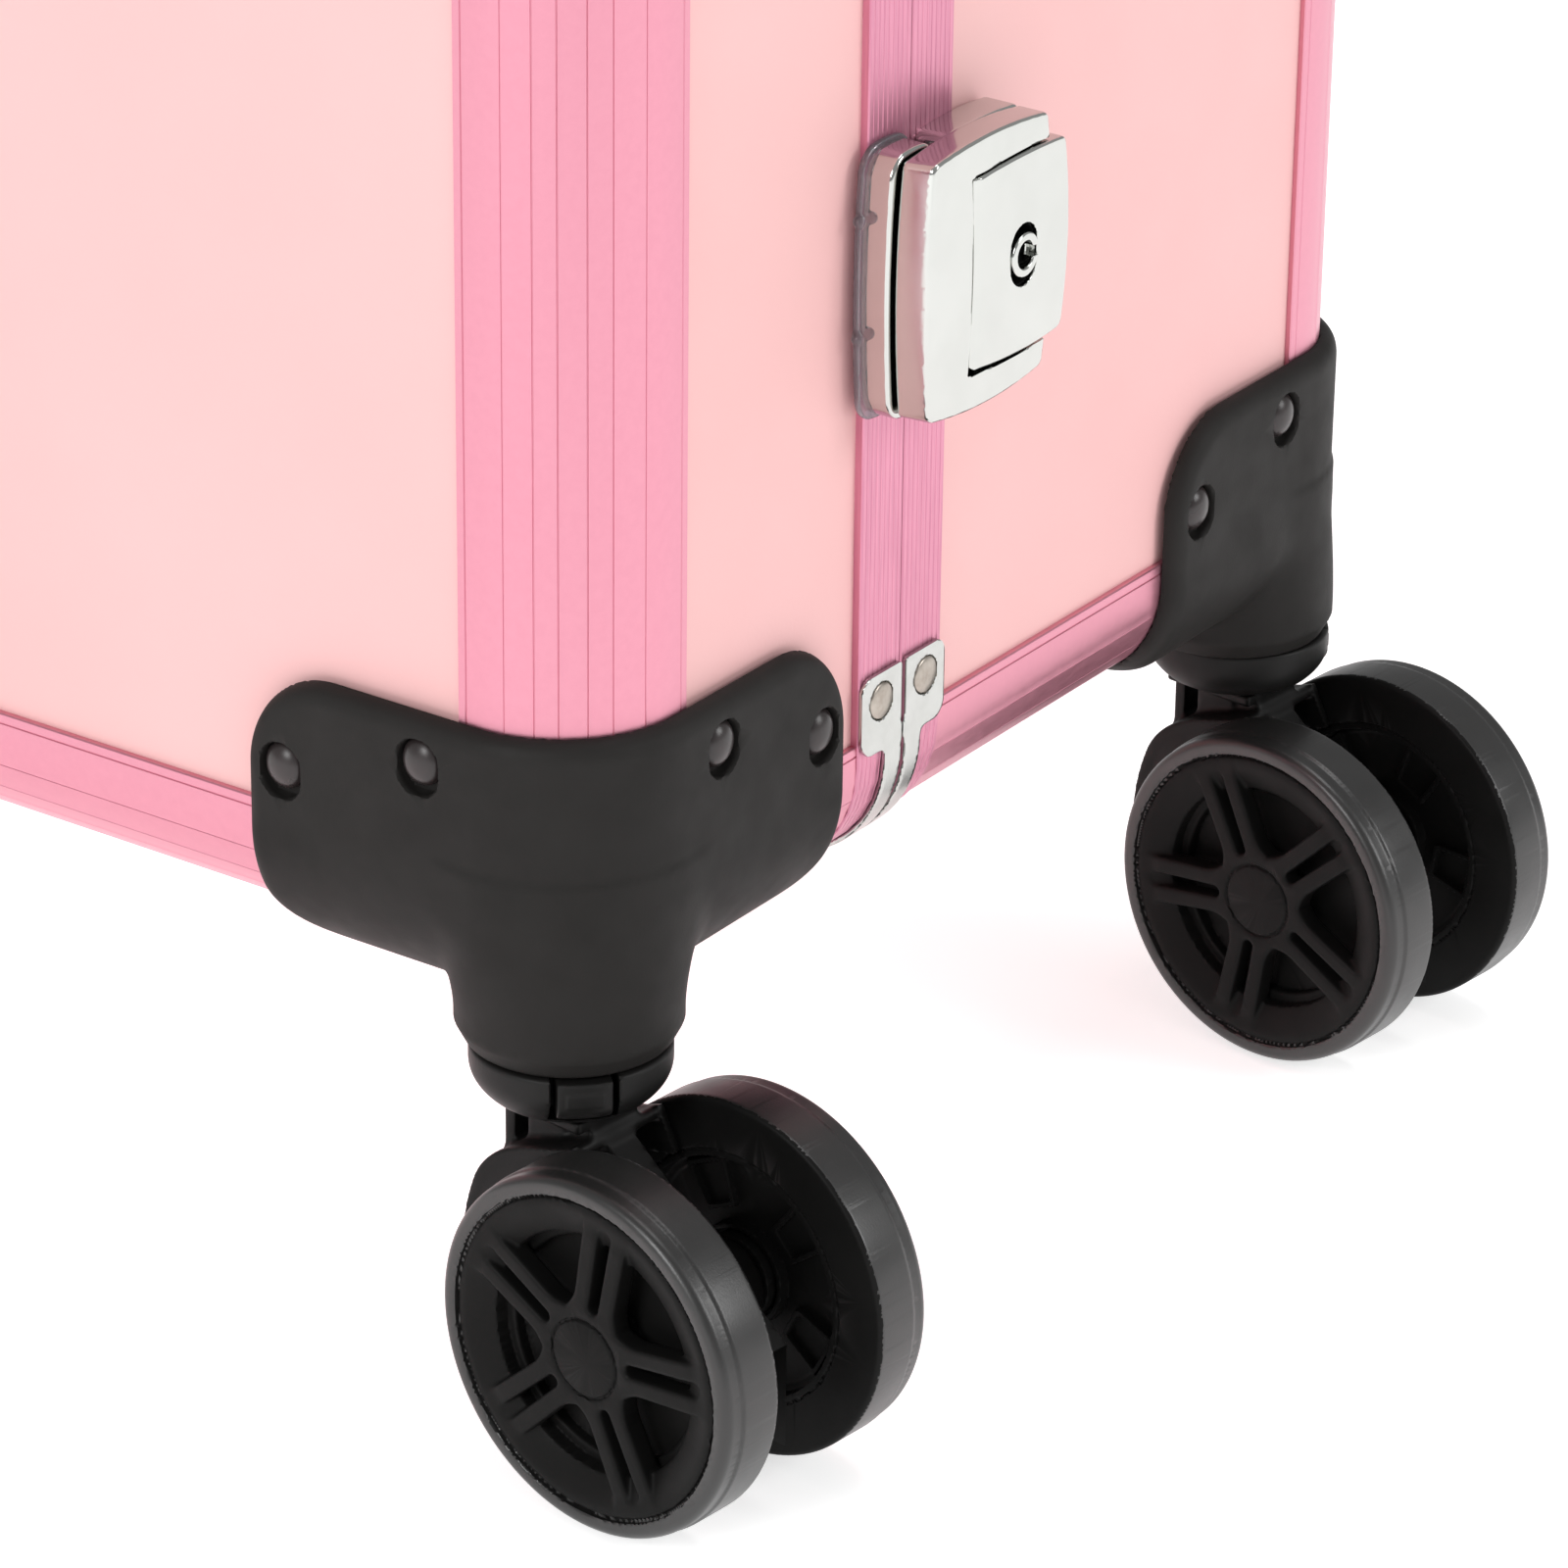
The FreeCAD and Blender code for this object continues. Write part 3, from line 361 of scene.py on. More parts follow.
def moulded(first, second, low, high, depth=0.00003):
    """Spark-eroded plastic: very fine texture, slightly uneven gloss."""

    def build(tree, shader):
        tint(tree, shader, noise(tree, 40, 4), first, second)
        vary(tree, shader, noise(tree, 120, 4), low, high)
        bump(tree, shader, noise(tree, 2600, 2, 0.6), 0.6, depth)

    return build


def drawn(first, second, low, high, stretch, scale, depth):
    """Lines drawn along one direction, as on an extrusion or brushed sheet."""

    def build(tree, shader):
        lines = noise(tree, scale, 3, 0.6, stretch)
        tint(tree, shader, lines, first, second, 0.35, 0.65)
        vary(tree, shader, lines, low, high)
        bump(tree, shader, lines, 0.5, depth)

    return build


PANEL = material(
    "panel_laminate", (0.86, 0.508, 0.502), 0.6, Specular_IOR_Level=0.3,
    build=grain((0.85, 0.496, 0.49), (0.87, 0.52, 0.514), 0.0008, 0.00003, 0.52, 0.66),
)
TRIM = material(
    "pink_anodised_trim", (0.69, 0.29, 0.372), 0.34, 0.8,
    build=drawn((0.68, 0.283, 0.364), (0.70, 0.297, 0.38), 0.31, 0.37, (1, 1, 1), 500, 0.000002),
)
FRAME_PINK = material(
    "pink_brushed_frame", (0.66, 0.26, 0.37), 0.38, 0.6,
    build=drawn((0.60, 0.225, 0.33), (0.72, 0.295, 0.41), 0.32, 0.44, (1, 1, 0.03), 1800, 0.000008),
)
GUARD_BLACK = material(
    "guard_black", (0.017, 0.0158, 0.0148), 0.6, Specular_IOR_Level=0.16,
    build=moulded((0.0145, 0.0135, 0.0127), (0.020, 0.0187, 0.0177), 0.54, 0.66),
)
GUARD_RIVET = material(
    "black_rivet", (0.024, 0.018, 0.018), 0.3,
    build=moulded((0.020, 0.015, 0.015), (0.030, 0.023, 0.023), 0.24, 0.36, 0.00001),
)
CASTER = material(
    "caster_black", (0.008, 0.0078, 0.0075), 0.5, Specular_IOR_Level=0.22,
    build=moulded((0.007, 0.0068, 0.0065), (0.011, 0.0105, 0.010), 0.42, 0.54),
)
FORK = material(
    "fork_black", (0.004, 0.0038, 0.0036), 0.5, Specular_IOR_Level=0.2,
    build=moulded((0.0034, 0.0032, 0.003), (0.0055, 0.0052, 0.005), 0.44, 0.56),
)
WHEEL = material(
    "wheel_black", (0.0065, 0.0064, 0.0062), 0.5, Specular_IOR_Level=0.1,
    build=moulded((0.0055, 0.0054, 0.0052), (0.0085, 0.0083, 0.008), 0.44, 0.56),
)
TYRE = material(
    "tyre_black", (0.011, 0.0108, 0.0105), 0.36, Specular_IOR_Level=0.7,
    build=moulded((0.009, 0.0088, 0.0086), (0.014, 0.0137, 0.0133), 0.31, 0.41),
)
HANDLE = material(
    "handle_black", (0.014, 0.0135, 0.013), 0.5, Specular_IOR_Level=0.4,
    build=moulded((0.012, 0.0115, 0.011), (0.018, 0.0175, 0.017), 0.42, 0.55),
)
CHROME = material(
    "bright_chrome", (0.565, 0.575, 0.552), 0.12, 1.0,
    build=drawn((0.55, 0.56, 0.537), (0.58, 0.59, 0.567), 0.09, 0.15, (1, 1, 1), 60, 0.000002),
)
# Near-black painted shade for the latch's key recess: the socket behind the oval hole and the
# chrome key core wear it in place of the shadow inside.
PAINTED_SHADE_BLACK = material(
    "painted_shade_black", (0.004, 0.004, 0.004), 0.7, Specular_IOR_Level=0.1,
    build=moulded((0.003, 0.003, 0.003), (0.006, 0.006, 0.006), 0.6, 0.8),
)
CLEAR = material(
    "clear_plastic", (0.56, 0.50, 0.56), 0.15, 0.0,
    Transmission_Weight=0.85, IOR=1.46,
    build=moulded((0.52, 0.46, 0.52), (0.62, 0.56, 0.62), 0.10, 0.22, 0.00001),
)
CLIP = material(
    "zinc_sheet", (0.51, 0.52, 0.50), 0.2, 1.0,
    build=drawn((0.485, 0.495, 0.475), (0.54, 0.55, 0.53), 0.15, 0.25, (1, 1, 1), 220, 0.000006),
)
CLIP_RIVET = material(
    "worn_rivet", (0.40, 0.36, 0.32), 0.34, 1.0,
    build=drawn((0.34, 0.30, 0.26), (0.47, 0.43, 0.38), 0.28, 0.42, (1, 1, 1), 300, 0.00001),
)
STEEL = material(
    "plain_steel", (0.55, 0.55, 0.55), 0.35, 1.0,
    build=drawn((0.5, 0.5, 0.5), (0.6, 0.6, 0.6), 0.3, 0.42, (1, 1, 0.1), 500, 0.00001),
)
TUBE = material(
    "clear_anodised_tube", (0.72, 0.72, 0.73), 0.3, 1.0,
    build=drawn((0.68, 0.68, 0.69), (0.76, 0.76, 0.77), 0.26, 0.36, (1, 1, 0.05), 600, 0.00001),
)
LINING = material(
    "black_liner", (0.022, 0.02, 0.02), 0.9,
    build=grain((0.018, 0.017, 0.017), (0.028, 0.026, 0.026), 0.0012, 0.0001, 0.85, 0.95),
)


# ---------------------------------------------------------------- trims and frames
GROOVES = (12.7, 25.6, 35.7, 47.8, 58.6, 73.9)  # degrees round the trim
FRAME_LINES = 9


def trim_profile():
    """The cross-section of an edge trim in inward distances (u, v), from one lip to the other."""
    wall = 1.2
    steps = ((0, wall), (0, 0.3), (0.2, 0.05), (1.5, 0.0), (1.65, 0.22), (1.8, 0.22), (1.95, 0.0))
    lip = [(TRIM_LEG - back, depth) for back, depth in steps]
    outline = list(lip)
    samples = []
    width, depth = 0.34, 0.12
    for degrees in GROOVES:
        groove = (
            (-4, 0), (-width, 0), (-width / 3, depth),
            (width / 3, depth), (width, -0.03), (2 * width, 0), (4, 0),
        )
        samples += [(degrees + turn, drop) for turn, drop in groove]
    for degrees, drop in [(0, 0), (4, 0)] + samples + [(83, 0), (90, 0)]:
        angle = math.radians(degrees)
        out, up = math.sin(angle), math.cos(angle)
        radius = EDGE_RADIUS - drop
        outline.append((EDGE_RADIUS - radius * out, EDGE_RADIUS - radius * up))
    outline += [(v, u) for u, v in reversed(lip)]
    inner = [(wall, TRIM_LEG - 4)]
    for degrees in range(5, 90, 10):
        angle = math.radians(degrees)
        reach = EDGE_RADIUS - wall
        inner.append((EDGE_RADIUS - reach * math.cos(angle), EDGE_RADIUS - reach * math.sin(angle)))
    return outline + inner + [(TRIM_LEG - 4, wall)]


def swept(profile, frames):
    """A closed tube of a closed profile. frames are functions from (u, v) to a point."""
    count = len(profile)
    verts = [frame_at(u, v) for frame_at in frames for u, v in profile]
    faces = []
    for ring in range(len(frames) - 1):
        for index in range(count):
            after = (index + 1) % count
            a, b = ring * count + index, ring * count + after
            faces.append((a, b, b + count, a + count))
    return np.array(verts), faces


def capped(part, count, rings):
    """Closes both ends of a swept part."""
    verts, faces = part
    last = (rings - 1) * count
    ends = [tuple(reversed(range(count))), tuple(last + i for i in range(count))]
    return verts, faces + ends


def outward(part):
    """The part with its faces turned outwards, by its signed volume."""
    verts, faces = part
    volume = 0.0
    for face in faces:
        for index in range(1, len(face) - 1):
            a, b, c = verts[face[0]], verts[face[index]], verts[face[index + 1]]
            volume += float(np.dot(a, np.cross(b, c)))
    return part if volume > 0 else (verts, [tuple(reversed(face)) for face in faces])


def trim_run(along, low, high, corners):
    """One ribbed trim along an axis. corners: {axis: (corner plane, inward sign)}."""
    profile = trim_profile()
    (first, (corner_a, sign_a)), (second, (corner_b, sign_b)) = corners.items()

    def at(place):
        def point(u, v):
            spot = {along: place, first: corner_a + sign_a * u, second: corner_b + sign_b * v}
            return spot["x"], spot["y"], spot["z"]

        return point

    run = swept(profile, [at(low), at(high)])
    return outward(capped(run, len(profile), 2))


def make_trims():
    """The eight ribbed trims of each half."""
    clear = TRIM_LEG + 0.5
    for half, face, sign, seam in (("lid", FRONT, 1, LID_FRAME), ("base", BACK, -1, BASE_FRAME)):
        runs = []
        for side in (1, -1):
            corners = {"x": (SIDE * side, -side), "y": (face, sign)}
            runs.append(trim_run("z", BOTTOM + clear, TOP - clear, corners))
        for level, rise in ((BOTTOM, 1), (TOP, -1)):
            corners = {"y": (face, sign), "z": (level, rise)}
            runs.append(trim_run("x", -SIDE + clear, SIDE - clear, corners))
            for side in (1, -1):
                corners = {"x": (SIDE * side, -side), "z": (level, rise)}
                low, high = sorted((face + sign * clear, seam))
                runs.append(trim_run("y", low, high, corners))
        piece = mesh_object(half + "_ribbed_trims", *joined(runs), RIB_ANGLE)
        finish_piece(piece, half, TRIM, [half + "_edge_trims"])


def make_seam_frames():
    """A ring beside the seam on each half, with fine lines drawn along it."""
    wall, proud, bevel, steps = 8.0, 0.35, 0.25, 8
    for half, low, high in (("lid", LID_FRAME, LID_BACK), ("base", BASE_FRONT, BASE_FRAME)):
        profile = [(low, wall), (low, bevel - proud), (low + bevel, -proud)]
        for number in range(1, FRAME_LINES):
            middle = low + (high - low) * number / FRAME_LINES
            for beside, depth in ((-0.16, 0.0), (-0.04, 0.14), (0.04, 0.14), (0.16, 0.0)):
                profile.append((middle + beside, depth - proud))
        profile += [(high - bevel, -proud), (high, bevel - proud), (high, wall)]
        frames = []
        for corner_x, corner_z, start in ((1, -1, -90), (1, 1, 0), (-1, 1, 90), (-1, -1, 180)):
            centre_x = corner_x * (SIDE - EDGE_RADIUS)
            centre_z = MIDDLE + corner_z * ((TOP - BOTTOM) / 2 - EDGE_RADIUS)
            for step in range(steps + 1):
                angle = math.radians(start + 90 * step / steps)
                frames.append(ring_point(centre_x, centre_z, angle))
        frames.append(frames[0])
        ring = outward(swept(profile, frames))
        piece = mesh_object(half + "_lined_frame", *ring, RIB_ANGLE)
        finish_piece(piece, half, FRAME_PINK, [half + "_seam_frame"])


def ring_point(centre_x, centre_z, angle):
    """Places a profile point (y, depth) on the rounded ring at one angle."""

    def point(y, depth):
        radius = EDGE_RADIUS - depth
        return centre_x + radius * math.cos(angle), y, centre_z + radius * math.sin(angle)

    return point


# ---------------------------------------------------------------- corner guards
GUARD_THICK, ARM_REACH, ARM_RISE = 3.3, 67.8, 51.4
CUP_RADIUS, CUP_DROP, CUP_INSET, CUP_BORE = 18.9, 7.5, 16.2, 14.05
RIVETS = ((31.8, 43.0), (59.9, 34.6))  # along the arm, and up
SWIVEL_INSET = 15.0


def arm_field(t, w):
    """Distance to the outline of a guard arm: t along the arm, w up."""
    middle = (ARM_RISE - GUARD_THICK) / 2
    radius = np.where(w > middle, 18.0, 14.0)
    qw = np.abs(w - middle) - (ARM_RISE + GUARD_THICK) / 2 + radius
    return rounded(t - ARM_REACH + radius, qw, radius)


def guard_field(with_cup):
    """The field of a guard, in inward distances u, v, w from the corner's three planes."""

    def distance(u, v, w):
        shell = octant_field(u, v, w, EDGE_RADIUS, EDGE_RADIUS + GUARD_THICK)
        shape = smooth_max(shell, smooth_max(arm_field(u, w), arm_field(v, w), 0.5), 4.2)
        under = np.maximum(np.maximum(35 - u, 35 - v), w - 1)
        shape = smooth_max(shape, -under, 2.0)
        if with_cup:
            shape = smooth_min(shape, cup_field(u, v, w), 1.6)
        shape = np.maximum(shape, -octant_field(u, v, w, EDGE_RADIUS, EDGE_RADIUS))
        if with_cup:
            r = np.hypot(u - SWIVEL_INSET, v - SWIVEL_INSET)
            shape = np.maximum(shape, -ring_field(r, w, -CUP_BORE, CUP_BORE, -20, 0.5, 0.2))
        for along, rise in RIVETS:
            for t, depth in ((u, v), (v, u)):
                oval = np.hypot(t - along, np.maximum(np.abs(w - rise + 0.5) - 0.8, 0)) - 4.15
                shape = smooth_max(shape, -np.maximum(oval, depth + 0.9), 0.3)
        return shape

    return distance


def cup_field(u, v, w):
    """The caster cup: round below, and lofted upwards into the guard's rounded corner."""
    taper = 1.7 * np.clip((3.3 - CUP_DROP - w) / 3.3, 0, 1)
    blend = np.clip((w + 3) / 30, 0, 1)
    blend = blend * blend * (3 - 2 * blend)
    middle = CUP_INSET + (EDGE_RADIUS - CUP_INSET) * blend
    radius = CUP_RADIUS + (EDGE_RADIUS + GUARD_THICK - CUP_RADIUS) * blend
    wall = np.hypot(u - middle, v - middle) - radius + taper
    return smooth_max(wall, np.maximum(w - 26, -CUP_DROP - w), 0.4)


def corner_matrix(side, face, face_sign, level, rise):
    """Carries inward distances to their place at one corner of the case."""
    rows = ((-side, 0, 0, SIDE * side), (0, face_sign, 0, face), (0, 0, rise, level), (0, 0, 0, 1))
    return Matrix(rows)


def make_guards():
    """The eight corner guards and their rivets."""
    step, keep = 0.7, 0.4
    low = field_part((-5, -5, -9), (70, 70, 56), step, guard_field(True))
    high = field_part((-5, -5, -6), (70, 70, 56), step, guard_field(False))
    low, high = thinned("guard_low", low, keep), thinned("guard_high", high, keep)
    rivets = guard_rivets()
    for half, face, sign in (("lid", FRONT, 1), ("base", BACK, -1)):
        bottoms = [corner_matrix(side, face, sign, BOTTOM, 1) for side in (1, -1)]
        tops = [corner_matrix(side, face, sign, TOP, -1) for side in (1, -1)]
        for level, part, places in (("bottom", low, bottoms), ("top", high, tops)):
            guards = joined([moved(part, m) for m in places])
            piece = mesh_object(f"{half}_{level}_moulded_guards", *guards)
            finish_piece(piece, half, GUARD_BLACK, [f"{half}_{level}_guards"])
        heads = joined([moved(rivets, m) for m in bottoms + tops])
        heads = mesh_object(half + "_domed_rivets", *heads)
        finish_piece(heads, half, GUARD_RIVET, [half + "_guard_rivets"])


def dome(radius, height):
    """A closed domed head about Z, from a flat base at 0 up, with a short upright rim."""
    steps, around, rim = 10, 32, 0.35
    verts, faces = [], []
    rings = [(radius, 0)]
    for step in range(steps):
        angle = math.pi / 2 * step / steps
        rings.append((radius * math.cos(angle), rim + (height - rim) * math.sin(angle)))
    turns = np.linspace(0, 2 * math.pi, around, endpoint=False)
    for r, z in rings:
        verts += [(r * math.cos(a), r * math.sin(a), z) for a in turns]
    for ring in range(len(rings) - 1):
        low, high = ring * around, (ring + 1) * around
        for i in range(around):
            j = (i + 1) % around
            faces.append((low + i, low + j, high + j, high + i))
    tip = len(verts)
    verts.append((0, 0, height))
    last = (len(rings) - 1) * around
    faces += [(last + i, last + (i + 1) % around, tip) for i in range(around)]
    faces.append(tuple(reversed(range(around))))
    return np.array(verts), faces


def guard_rivets():
    """Four domed heads in the inward distances of one guard, a little taller than wide."""
    head = dome(3.9, 3.0)
    parts = []
    for along, rise in RIVETS:
        out, up = (0, 0, -1, -0.8), (0, 1.08, 0, rise + 0.15)
        for rows in (((1, 0, 0, along), out), (out, (-1, 0, 0, along))):
            parts.append(moved(head, Matrix((*rows, up, (0, 0, 0, 1)))))
    return joined(parts)


# ---------------------------------------------------------------- wheels and casters
WHEEL_RADIUS, WHEEL_WIDTH, HALF_SPAN = 31.75, 12.25, 24.5
TYRE_SEAM = 28.1
TRAIL, AXLE_DROP, COLLAR_DROP = 25.0, 48.25, 17.0
# how far two of the wheels have rolled in the photograph
ROLLS = {"caster_rear_right_inner": math.radians(36), "caster_rear_right_outer": math.radians(20)}


def wheel_field(x, y, a):
    """A wheel about its axle. a is 0 on the side towards the fork and the wheel's width outside."""
    r = np.hypot(x, y)
    width = WHEEL_WIDTH
    # the tyre: a tread, a fine step, and a rounded bead on the outer side
    tread = ring_field(r, a, 20.0, WHEEL_RADIUS, 0.0, width - 3.3, 0.9)
    bead = ring_field(r, a, 20.0, WHEEL_RADIUS - 0.35, 0.0, width, 1.7)
    shape = np.maximum(np.minimum(tread, bead), 21.3 - r)
    # the disc: a dished ring outside the windows, a groove where it meets the tyre
    dish = width - 0.45 - 2.2 * np.clip((26.6 - r) / 5.3, 0, 1) ** 1.3
    shape = np.maximum(shape, np.where(r < 27.8, a - dish, -9.0))
    groove = np.maximum(np.abs(r - 28.05) - 0.32, width - 1.1 - a)
    shape = np.maximum(shape, -groove)
    lip = ring_field(r, a, 19.6, 22.0, 3.0, width - 5.2, 0.5)
    shape = smooth_min(shape, lip, 0.4)
    shape = np.minimum(shape, ring_field(r, a, -22.0, 22.0, 3.2, 4.8, 0.2))
    # five twin spokes and their hub
    fifth, first_spoke = 2 * math.pi / 5, math.radians(80)
    local = (np.arctan2(y, x) - first_spoke + fifth / 2) % fifth - fifth / 2
    along, across = r * np.cos(local), r * np.sin(local)
    bar = np.maximum(np.abs(across) - 3.9 - 0.03 * along, -along)
    hub = smooth_min(r - 8.9, bar, 4.0)
    slot = np.hypot(np.maximum(np.abs(along - 17.0) - 7.0, 0), across)
    slot = slot - 1.05 - 0.02 * (along - 10)
    spokes = np.maximum(np.maximum(hub, -slot), r - 27.0)
    top = width - 0.5 - 0.35 * np.clip((along - 22.5) / 4, 0, 1)
    spokes = smooth_max(spokes, np.maximum(a - top, 7.6 - a), 0.8)
    shape = np.where(r < 27.2, smooth_min(shape, spokes, 0.8), shape)
    shape = np.minimum(shape, ring_field(r, a, -7.4, 7.4, 0.0, width - 0.42, 0.3))
    ring = np.maximum(np.abs(r - 6.9) - 0.26, width - 0.9 - a)
    shape = np.maximum(shape, -ring)
    # the inner side: a ring line, rings about the hub, ribs and windows in the recess
    shape = np.maximum(shape, -np.maximum(np.abs(r - 22.6) - 0.22, a - 0.45))
    for radius, start in ((5.2, 0.3), (8.6, 1.2)):
        shape = np.minimum(shape, ring_field(r, a, radius - 0.5, radius + 0.5, start, 4.0, 0.3))
    turned = (np.arctan2(y, x) - first_spoke) % fifth - fifth / 2
    beyond, beside = r * np.cos(turned), np.abs(r * np.sin(turned))
    window = np.maximum(beside - 1.5 - 0.13 * beyond, np.abs(beyond - 15.8) - 4.0)
    rib = np.maximum(np.abs(window) - 0.45, np.maximum(2.2 - a, a - 4))
    shape = np.minimum(shape, rib)
    bore = np.maximum(r - 3.05, a - 9.5)
    return np.maximum(shape, -bore)


def collar_field(x, y, z):
    """The plug-in collar, its notch towards +X."""
    r = np.hypot(x, y)
    fall = np.clip((-10.6 - z) / 6.4, 0, 1)
    outer = 16.8 - 3.9 * fall**2.2
    shape = smooth_max(r - outer, np.maximum(z + 7.6, -COLLAR_DROP - z), 0.8)
    shape = np.minimum(shape, ring_field(r, z, -13.95, 13.95, -9.0, -0.3, 0.4))
    notch = box_field(x, y, z, (8.5, 22), (-5.6, 5.6), (-15.9, -7.0), 0.25)
    shape = np.maximum(shape, -notch)
    return np.maximum(shape, 5.1 - r)


def tab_field(x, y, z):
    """The release tab, with a plain raised pad."""
    r = np.hypot(x, y)
    face = 16.75 - 1.5 * np.clip((-12.6 - z) / 2.4, 0, 1) ** 2
    block = box_field(x, y, z, (11, 18), (-4.55, 4.55), (-15.0, -8.1), 0.5)
    shape = smooth_max(block, r - face, 0.4)
    pad = box_field(x, y, z, (14, 18), (-3.0, 3.0), (-12.4, -10.0), 0.4)
    return smooth_min(shape, np.maximum(pad, r - 16.9), 0.3)


def fork_field(x, y, z):
    """The fork about its swivel axis: neck, posts, gussets, rear hood, web and axle boss."""
    r = np.hypot(x, y)
    dx, dz = x - TRAIL, z + AXLE_DROP
    wheel_r = np.hypot(dx, dz)
    top = -COLLAR_DROP - 0.45
    neck = box_field(x, y, z, (-4.5, 4.5), (-6.0, 6.0), (-30.0, top), 1.0)
    plate = box_field(x, y, z, (-9.5, 9.5), (-8.5, 8.5), (top - 2.2, top), 0.6)
    neck = smooth_min(neck, plate, 0.8)
    for low, high, floor in ((-9.9, -7.5, -32), (7.6, 9.6, -24.5)):
        post = box_field(x, y, z, (low, high), (-5.5, 5.5), (floor, top), 0.5)
        neck = np.minimum(neck, post)
    gusset = np.maximum(np.abs(x - 4.5) - 4.8, np.abs(z + 21) - 4.0)
    gusset = np.maximum(np.abs(np.abs(y) - 4.6) - 0.7, gusset)
    gusset = np.maximum(gusset, 0.7 * (x - 9.6) + 0.7 * (-z - 22.5))
    neck = smooth_min(neck, gusset, 0.6)
    stem = ring_field(r, z, -5.0, 5.0, -27.0, -0.5, 0.3)
    # the hood follows the wheels from above the axle round to the back, and dips on the way
    angle = np.degrees(np.arctan2(dz, dx))
    angle = np.where(angle < -90, angle + 360, angle)
    hood_start, hood_end = 118, 200
    span = np.maximum(hood_start - angle, angle - hood_end) * math.radians(1) * 30.0
    swell = np.clip((angle - hood_start) / 40, 0, 1)
    arch = wheel_r - 8.2 * swell * swell * (3 - 2 * swell)
    hood = smooth_max(rect_field(arch, y, (29.2, 31.4), (-10.9, 10.9), 0.8), span, 1.2)
    side = np.maximum(np.abs(np.abs(y) - 10.2) - 0.7, np.maximum(np.abs(arch - 27) - 4.2, span))
    hood = smooth_min(hood, side, 0.6)
    web = np.maximum(np.abs(y) - 3.2, np.maximum(arch - 30.0, -0.72 * dx - 0.69 * dz - 14))
    web = np.maximum(web, 0.62 * (x - 9.6) + 0.785 * (z + 21.5))
    boss = ring_field(wheel_r, y, -7.6, 7.6, -11.4, 11.4, 0.6)
    shape = smooth_min(neck, hood, 1.5)
    shape = smooth_min(shape, web, 1.2)
    shape = smooth_min(shape, boss, 2.0)
    shape = smooth_min(shape, stem, 1.0)
    above = np.maximum(r - 17.5, top - z)
    shape = np.maximum(shape, -np.where(r > 5.1, above, 9.0))
    shape = np.maximum(shape, z + 0.4)
    return np.maximum(shape, 3.0 - wheel_r)


def make_casters():
    """The four casters. The pieces are made once about the swivel axis, then placed."""
    wheel = field_part((-32, -32, -0.5), (32, 32, 12.5), 0.42, wheel_field)
    collar = field_part((-17, -17, -17.5), (17, 17, 0), 0.45, collar_field)
    fork = field_part((-16, -12, -68), (44, 12, 0), 0.5, fork_field)
    shapes = {
        "wheel": thinned("wheel_shape", wheel, 0.45),
        "collar": thinned("collar_shape", collar, 0.5),
        "tab": field_part((10.5, -5.2, -15.4), (17.2, 5.2, -7.6), 0.3, tab_field),
        "fork": thinned("fork_shape", fork, 0.4),
    }
    tyre = tyre_finish_faces(shapes["wheel"])
    joints = {j["name"]: j for j in frame["joints"]}
    for joint_name, joint in joints.items():
        if joint_name.startswith("caster") and joint_name.endswith("_turn"):
            name = joint_name.removesuffix("_turn")
            make_caster(name, joint, joints[name + "_outer_spin"], shapes, tyre)


def make_caster(name, joint, spin, shapes, tyre):
    """One caster on its swivel joint. The spin joint shows which way its fork points."""
    at = Vector(joint["pos_m"]) / MM
    heading = (Vector(spin["pos_m"]) / MM - at).to_2d().normalized()
    turn = Matrix.Rotation(math.atan2(heading.y, heading.x), 4, "Z")
    base = Matrix.Translation((at.x, at.y, BOTTOM))
    diagonal = Matrix.Rotation(corner_angle(at), 4, "Z")
    piece = mesh_object(name + "_bowl_collar", *moved(shapes["collar"], base @ diagonal))
    finish_piece(piece, joint["parent"], CASTER, [name + "_collar"])
    piece = mesh_object(name + "_push_tab", *moved(shapes["tab"], base @ diagonal))
    finish_piece(piece, name + "_tab", CASTER, [name + "_release_tab"])
    piece = mesh_object(name + "_hooded_fork", *moved(shapes["fork"], base @ turn))
    finish_piece(piece, name + "_swivel", FORK, [name + "_fork"])
    for side in ("outer", "inner"):
        low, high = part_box(f"{name}_{side}_wheel")
        middle = base @ turn @ Vector((TRAIL, 0, -AXLE_DROP))
        away = ((low + high) / 2 / MM - middle).dot(turn @ Vector((0, 1, 0)))
        sign = math.copysign(1, away)
        across = sign * (HALF_SPAN - WHEEL_WIDTH)
        lay = Matrix(((1, 0, 0, TRAIL), (0, 0, sign, across), (0, 1, 0, -AXLE_DROP), (0, 0, 0, 1)))
        roll = Matrix.Rotation(ROLLS.get(f"{name}_{side}", 0.0), 4, "Z")
        wheel = moved(shapes["wheel"], base @ turn @ lay @ roll)
        piece = mesh_object(f"{name}_{side}_spoked_wheel", *wheel)
        finish_piece(piece, f"{name}_{side}_roll", WHEEL, [f"{name}_{side}_wheel"])
        # The tread and bead take the tyre finish; the tyre's inner side keeps the darker wheel
        # finish as painted shade.
        piece.data.materials.append(TYRE)
        piece.data.polygons.foreach_set("material_index", tyre)


def tyre_finish_faces(wheel):
    """1 for each face of a wheel that takes the tyre finish, 0 for the rest: the disc, and the
    tyre's inner side, whose darker wheel finish is painted shade.
    """
    verts, faces = wheel
    centres = np.array([verts[list(face)].mean(axis=0) for face in faces])
    # The tyre's inner side, towards the fork, is left out so that it takes the darker wheel finish
    # as painted shade.
    tyre = (np.hypot(centres[:, 0], centres[:, 1]) > TYRE_SEAM) & (centres[:, 2] > 0.6)
    return tyre.astype(np.int32)


def corner_angle(at):
    """The direction from the case's middle out through a corner, at 45 degrees."""
    return math.atan2(math.copysign(1, at.y), math.copysign(1, at.x))


# ---------------------------------------------------------------- corner clips
RIVET_SEAM, RIVET_RISE = 5.9, 32.8


